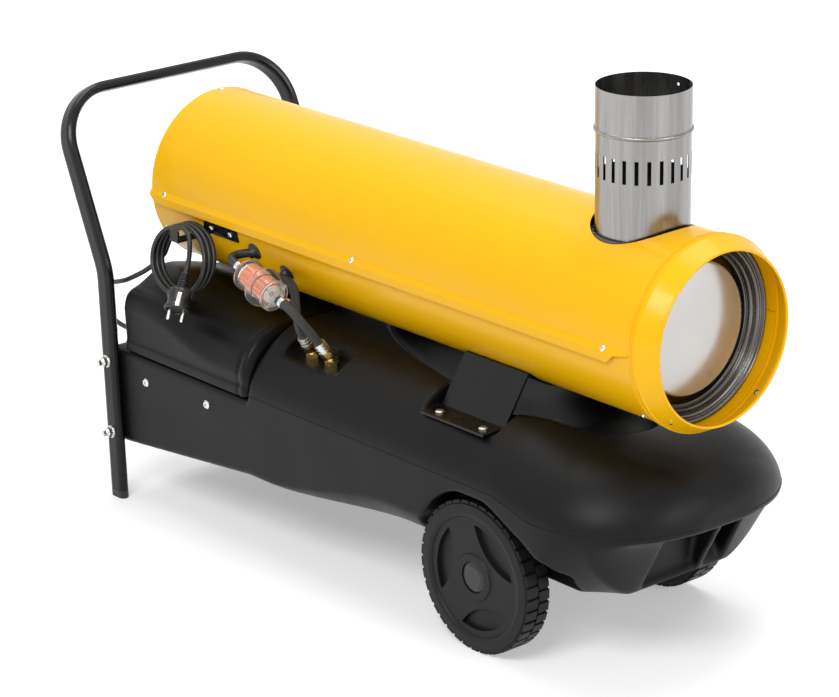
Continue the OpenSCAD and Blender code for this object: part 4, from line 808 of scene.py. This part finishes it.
def carve(piece, hollows, voxel, soften):
    """Cuts the hollows, then rounds all edges by a fine remesh and some smoothing."""
    for i, (points, faces) in enumerate(hollows):
        cutter = make_piece(f"cutter_{i}", points, faces, None, "black_plastic")
        cut = piece.modifiers.new("cut", "BOOLEAN")
        cut.operation, cut.solver, cut.object = "DIFFERENCE", "EXACT", cutter
        bake(piece)
        bpy.data.objects.remove(cutter)
    remesh = piece.modifiers.new("remesh", "REMESH")
    remesh.mode, remesh.voxel_size, remesh.use_smooth_shade = "VOXEL", voxel * MM, True
    smooth = piece.modifiers.new("smooth", "SMOOTH")
    smooth.factor, smooth.iterations = 0.5, soften
    bake(piece)
    piece.data.polygons.foreach_set("use_smooth", [True] * len(piece.data.polygons))


def pad_block(x0, x1, y0, y1):
    """A cutter that leaves a flat pad."""
    return block(x0, x1, y0, y1, pad_h, pad_h + PAD_CLEAR)


def tank_hollows():
    """Cutters for the wheel arches, the pads and the hand-hold in two widths."""
    out = []
    arch = [(x_axle + x, axle_z + z) for x, z in spline(ARCH, 4)]
    for s in (-1, 1):
        out.append(prism(arch, *sorted((s * arch_y, s * ARCH_OUT_Y))))
        out.append(pad_block(bracket_low[0] - 6, bracket_high[0] + 6,
                             *sorted((s * pad_y[0], s * pad_y[1]))))
    out.append(pad_block(fit_x[0] - 37, fit_x[0] + 78, -pad_y[1], -118))
    out.append(pad_block(cap_x - 42, cap_x + 42, cap_y - 36, cap_y + 44))
    for y0, y1, deep in ((-70, 27, 0), (36, 70, 34)):
        out.append(prism([(lip_x + 10, BELLY_H - 8), (lip_x - 8 - deep / 3, BELLY_H + 16 + deep),
                          (lip_x + 4 - deep, recess_top - 6), (lip_x + 10 - deep, recess_top),
                          (recess_x + 60, recess_top), (recess_x + 60, BELLY_H - 8)], y0, y1))
    return out


def make_tank():
    """The tank's body, skinned over its sections and then cut, and its filling neck."""
    stations = np.concatenate([
        [tank_x0, tank_x0 + 4], np.arange(tank_x0 + 12, step_x, 9.0),
        np.linspace(step_x + 1, step_x + 5, 5), np.linspace(step_x + 8, bow_x, 90),
        bow_x + (tank_tip - bow_x) * np.sin(np.linspace(0.03, math.pi / 2, 54))])
    points, faces = join_rings([tank_ring(x) for x in stations])
    tank = make_piece("tank_body", points, faces, None, "tank_plastic")
    carve(tank, tank_hollows(), voxel=3.0, soften=5)
    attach(tank, "heater")
    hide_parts("fuel_tank")
    make_turned("tank_neck", [(29, 0), (29, 5), (26, 6), (26, 14), (25, 14.5), (22, 14.5),
                              (22, 0)], (cap_x, cap_y, pad_h - 4), (0, 0, 1), "heater",
                "tank_plastic")


def make_tank_seam():
    """The mould's parting line along both sides and round the nose."""
    xs = np.concatenate([np.linspace(step_x + 6, bow_x, 80),
                         bow_x + (tank_tip - bow_x) * np.sin(np.linspace(0.05, 1.5, 50))])
    near = [(x, -tank_half(x) - 0.1, tank_seam(x)) for x in xs]
    far = [(x, -y, z) for x, y, z in reversed(near)]
    make_tube("tank_parting_line", near + far, 0.55, "heater", "tank_plastic", 8)


make_tank()
make_tank_seam()

# ---------------------------------------------------------------- control box cover
cover_x0, cover_x1 = cover_low[0], cover_high[0]
cover_z = deck_h + 2
# half sections as (y, z) for a tank PROFILE_HALF wide to each side: at the rear and in front
PROFILE_HALF = 190
TALL = [(190, 0), (190, 64), (188, 73), (184, 82), (176, 88), (164, 92), (148, 100),
        (130, 110), (112, 114), (90, 111), (60, 104), (30, 95), (0, 92)]
LOW = [(190, 0), (190, 30), (187, 41), (178, 60), (164, 74), (148, 83), (134, 88),
       (120, 91), (104, 92), (84, 92), (56, 91), (28, 91), (0, 91)]


def cover_ring(x, shrink):
    """The cover's section: a lower band along the side, then the crown."""
    t = ease(x, cover_x0 + 40, cover_x0 + 215)
    rows = [(mix(a[0], b[0], t) * side_y / PROFILE_HALF, mix(a[1], b[1], t))
            for a, b in zip(TALL, LOW)]
    crown = spline(rows[1:], 6)
    side = [(side_y, 0), (side_y, 13), (side_y - 2.2, 15.5)]
    side += [(side_y - 2.2 + 2.2 * (z - 15.5) / max(rows[1][1] - 15.5, 1), z)
             for z in np.linspace(17, rows[1][1] - 1, 6)]
    half = []
    for i, (y, z) in enumerate([*side, *crown]):
        near = 1.0 if i < 12 else np.clip(y / 170, 0, 1)
        half.append((max(0.0, y - shrink * near), cover_z + z - (shrink if i > 0 else 0)))
    return np.array([(x, y, z) for y, z in half] + [(x, -y, z) for y, z in half[-2::-1]])


def make_cover():
    """Ends rounded over, and a fine groove that leaves a raised rim at the front end."""
    rings = []
    for x in np.concatenate([cover_x0 + np.array([0, 0.6, 1.6, 3, 5, 8]),
                             np.arange(cover_x0 + 14, cover_x1 - 24, 6.0),
                             cover_x1 - np.array([22, 20, 18, 16.5, 15, 13, 11, 9, 7, 5, 3.4,
                                                  2, 0.9, 0.2, 0])]):
        back = 6 * np.clip(1 - (x - cover_x0) / 8, 0, 1) ** 2
        front = 9 * np.clip(1 - (cover_x1 - x) / 8, 0, 1) ** 2
        groove = 1.8 * math.exp(-(((cover_x1 - x) - 18) / 2.2) ** 2)
        rings.append(cover_ring(x, back + front + groove))
    points, faces = join_rings(rings)
    cover = make_piece("box_cover", points, faces, None, "cover_plastic")
    low, high = box_mm("rear_bracket")
    slot = block(low[0] - 6, high[0] + 6, -72, 72, deck_h + 50, deck_h + 130)
    carve(cover, [slot], voxel=2.2, soften=3)
    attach(cover, "heater")
    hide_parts("control_cover")


make_cover()

# ---------------------------------------------------------------- fuel line
HOSE_D = 12.0
filter_u = unit(FILTER_END - FILTER_AT)
# the directions in which the two ferrules lean from their fittings
FERRULE_U = [unit([-2, -20, 35]), unit([-10, -20, 33])]


def on_filter(s):
    """A point on the filter's axis."""
    return FILTER_AT + filter_u * s


def on_fit(i, s):
    """A point on the axis of a ferrule."""
    return np.array([fit_x[i], 61 - side_y, pad_h + 6]) + FERRULE_U[i] * s


def make_hoses():
    """The two woven fuel hoses, the filter's elbow, and the grommets in the casing."""
    feed = np.concatenate([[on_filter(77), on_filter(87)],
                           bend(on_filter(97), 40 * filter_u, on_fit(1, 32),
                                -90 * FERRULE_U[1], 40), [on_fit(1, 16.1)]])
    back = np.concatenate([spline([at(*p) for p in [
        (-204, -97, 392), (-204, -106.5, 386.5), (-203.5, -113, 382.8), (-199, -118, 381),
        (-190, -120.5, 381.5), (-179, -122.5, 382), (-167, -126.5, 379)]], 8),
        bend(at(-155.5, -132, 369), np.array([32, -22, -45]), on_fit(0, 32),
             -60 * FERRULE_U[0], 24), [on_fit(0, 16.1)]])
    elbow = np.concatenate([[at(-263, -104, 409)],
                            bend(at(-263, -117, 404.1), np.array([-50, -60, -10]),
                                 on_filter(-33), 75 * filter_u, 30),
                            [on_filter(-17), on_filter(-2.3)]])
    for name, path, node, start in (("feed_hose", feed, "fuel_hoses", (0, 1, 0)),
                                    ("return_hose", back, "fuel_hoses", (0, 0, 1)),
                                    ("filter_elbow", elbow, "filter_hose", (1, 0, 0))):
        hose = make_tube(name, path, HOSE_D / 2, "heater",
                         "cord_rubber" if node == "filter_hose" else "hose_rubber", 28, start)
        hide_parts(node)
    for i, (place, out) in enumerate(((at(-263, -115.4, 404.8), (0, -0.936, -0.352)),
                                      (at(-204, -106.5, 386.5), (0, -0.866, -0.5)))):
        flare = [(6.1, 9), (6.6, 8), (7.4, 5), (9.5, 2.2), (12, 1.2), (12.4, 0.4), (12, -0.6),
                 (6.2, -0.6)]
        make_turned(f"hose_grommet_{i}", flare, place, out, "heater", "cord_rubber", 48,
                    loop=True, crisp=60)


def make_filter_parts():
    """Wings round the nozzle of the clear bowl, and the plate at the element's end."""
    wings = []
    side = unit(np.cross(filter_u, [0, 0, 1]))
    up = np.cross(side, filter_u)
    corners = [(12, 66), (21.5, 66), (21.5, 67.5), (9, 80), (4.6, 84), (4.6, 74)]
    n = len(corners)
    for k in range(4):
        a = math.radians(45 + 90 * k)
        out = side * math.cos(a) + up * math.sin(a)
        flat = np.cross(filter_u, out)
        points = [on_filter(h) + out * r + flat * s for s in (-0.8, 0.8) for r, h in corners]
        faces = [(i, (i + 1) % n, n + (i + 1) % n, n + i) for i in range(n)]
        faces += [tuple(range(n)), tuple(range(n, 2 * n))]
        wings.append((np.array(points), faces))
    points, faces = merge(wings)
    make_piece("filter_wings", points, faces, "heater", "clear_bowl", bevel=0.4)
    make_turned("filter_cap_disc", [(4.4, 57.4), (13.4, 57.4), (13.4, 59.2), (4.4, 59.2)],
                on_filter(1.02), filter_u, "heater", "white_plastic", 48, loop=True)


make_hoses()
make_filter_parts()


# ---------------------------------------------------------------- casing and outlet
def make_drum_front():
    """The drum's end: a flat polished disc with a rolled edge."""
    low, high = box_mm("heat_exchanger")
    x0, radius = high[0] + 0.8, (high[1] - low[1]) / 2
    face = [(radius + 0.3, -16), (radius + 0.6, -4.9), (radius + 0.5, -2.4), (radius - 0.1, -1.0),
            (radius - 1.4, -0.3), (radius - 3, 0), (radius * 0.5, 0)]
    make_turned("drum_front", face, (x0, 0, axis_h), (1, 0, 0), "heater", "drum_steel", 128,
                crisp=60)


def make_bead(name, r, x, thick):
    """A fine round bead about the casing's axis; thick is its half thickness."""
    section = [(r + thick * math.cos(a), thick * math.sin(a)) for a in
               np.linspace(0, ROUND, 12, endpoint=False)]
    make_turned(name, section, (x, 0, axis_h), (1, 0, 0), "heater", "casing_yellow", 160,
                loop=True, crisp=180)


def make_casing_trim():
    """A rolled edge at the casing's rear end and a dark collar in the flue's hole."""
    make_bead("casing_rear_roll", casing_r - 0.8, x_rear + 1.3, 1.3)
    wall = [(60.3, -6), (64.4, -6), (64.4, 0), (60.3, 0)]
    make_turned("flue_collar", wall, (x_flue, 0, axis_h + 108), (0, 0, 1), "heater",
                "grey_ring", 96, loop=True)


def make_nose_beads():
    """Fine rolled beads: two round the nose's lap on the casing, one inside its rim."""
    low, high = box_mm("outlet_nose")
    lap_r = (high[1] - low[1]) / 2 - 1.5
    for i, (r, x) in enumerate(((lap_r, x_front - 8.2), (lap_r, x_front - 4.6),
                                (lap_r - 10.4, high[0] - 6.8))):
        make_bead(f"nose_bead_{i}", r, x, 0.9)


make_drum_front()
make_casing_trim()
make_nose_beads()

# ---------------------------------------------------------------- finishes of the CAD nodes
dress("casing_yellow", "upper_shell", "lower_shell", "outlet_nose")
dress("flue_steel", "flue_pipe", "blast_tube")
dress("drum_steel", "heat_exchanger", "flame_disc")
dress("grey_ring", "outlet_ring", "drum_supports")
dress("black_steel", "handle_tube", "front_bracket", "rear_bracket", "cord_hook",
      "motor_bracket", "fan_guard")
dress("zinc_steel", "bracket_screws", "cover_screws", "casing_screws", "handle_bolts",
      "hose_clamps", "hose_ferrules", "axle", "suction_pipes", "drain_plug", "motor_shaft")
dress("brass_fitting", "hose_fittings", "nozzle_holder")
dress("black_plastic", "leg_plugs", "cable_gland", "filler_cap", "main_switch", "socket_lid",
      "axle_caps", "axle_clips", "solenoid_valve", "photocell", "pump_coupling")
dress("grey_plastic", "control_panel", "thermostat_socket")
dress("wheel_plastic", "wheel_left", "wheel_right")
dress("red_plastic", "reset_button")
dress("amber_plastic", "pilot_lamp")
dress("motor_metal", "motor", "ignition_transformer")
dress("fan_metal", "fan")
dress("pump_metal", "fuel_pump")
dress("copper_pipe", "nozzle_pipe")
dress("ceramic_white", "electrodes")
dress("clear_bowl", "filter_bowl")
dress("filter_orange", "filter_element")
dress("white_plastic", "filler_strainer")


# ---------------------------------------------------------------- stage and light
# the floor glows for the camera: this much under the heater, and fully from far on, in metres
FLOOR_LIFT = 0.36
FLOOR_FADE = (1.0, 3.5)
FLOOR_HALF = 30.0
SOFT_LIGHT = 0.32


def make_stage():
    """A plain pale floor that takes the heater's shadow and is white far off."""
    n = Nodes("studio_floor")
    n.set(Base_Color=(0.86, 0.86, 0.86, 1), Roughness=0.9, Specular_IOR_Level=0.1)
    n.set(Normal=n.bump(n.noise(40, 2), 0.00001))
    rays = n.add("LightPath").outputs
    seen = n.math("MAXIMUM", rays["Is Camera Ray"],
                  n.math("MAXIMUM", rays["Is Glossy Ray"], rays["Is Transmission Ray"]))
    split = n.add("SeparateXYZ", Vector=n.coords.outputs["Object"])
    away = n.reach(split.outputs["X"], split.outputs["Y"])
    lift = n.ranged(away, *FLOOR_FADE, FLOOR_LIFT, 1.0)
    n.set(Emission_Color=(1, 1, 1, 1), Emission_Strength=n.math("MULTIPLY", seen, lift))
    mesh = bpy.data.meshes.new("studio_floor")
    mesh.from_pydata([(x * FLOOR_HALF, y * FLOOR_HALF, 0)
                      for x, y in ((-1, -1), (1, -1), (1, 1), (-1, 1))], [], [(0, 1, 2, 3)])
    mesh.materials.append(n.material)
    floor = bpy.data.objects.new("studio_floor", mesh)
    bpy.context.scene.collection.objects.link(floor)


def add_area(name, place, aim, size, power):
    """A soft lamp at a place, aimed at a point; lengths in metres, power in watts."""
    data = bpy.data.lights.new(name, "AREA")
    data.shape, data.size, data.size_y, data.energy = "RECTANGLE", size[0], size[1], power
    lamp = bpy.data.objects.new(name, data)
    lamp.location = place
    lamp.rotation_euler = (Vector(aim) - Vector(place)).to_track_quat("-Z", "Y").to_euler()
    bpy.context.scene.collection.objects.link(lamp)


def make_world():
    """A white surround for the camera, gloss and glass, and a softer one for the light."""
    world = bpy.data.worlds.new("studio")
    bpy.context.scene.world = world
    world.use_nodes = True
    tree = world.node_tree
    tree.nodes.clear()
    out = tree.nodes.new("ShaderNodeOutputWorld")
    path = tree.nodes.new("ShaderNodeLightPath")
    soft, white = tree.nodes.new("ShaderNodeBackground"), tree.nodes.new("ShaderNodeBackground")
    soft.inputs["Strength"].default_value = SOFT_LIGHT
    white.inputs["Strength"].default_value = 1.0
    for background in (soft, white):
        background.inputs["Color"].default_value = (1, 1, 1, 1)
    chosen = tree.nodes.new("ShaderNodeMixShader")
    share = path.outputs["Is Camera Ray"]
    for ray in ("Is Glossy Ray", "Is Transmission Ray"):
        most = tree.nodes.new("ShaderNodeMath")
        most.operation = "MAXIMUM"
        tree.links.new(share, most.inputs[0])
        tree.links.new(path.outputs[ray], most.inputs[1])
        share = most.outputs[0]
    tree.links.new(share, chosen.inputs[0])
    tree.links.new(soft.outputs[0], chosen.inputs[1])
    tree.links.new(white.outputs[0], chosen.inputs[2])
    tree.links.new(chosen.outputs[0], out.inputs[0])


make_stage()
add_area("key", (1.6, -3.2, 3.4), (0.1, 0, 0.3), (2.4, 1.6), 118)
add_area("top", (-0.4, 0.6, 3.6), (0.0, 0, 0.3), (3.2, 2.2), 78)
add_area("side", (4.0, 0.8, 1.6), (0.3, 0, 0.4), (1.6, 1.6), 40)
make_world()
bpy.context.scene.view_settings.view_transform = "Standard"
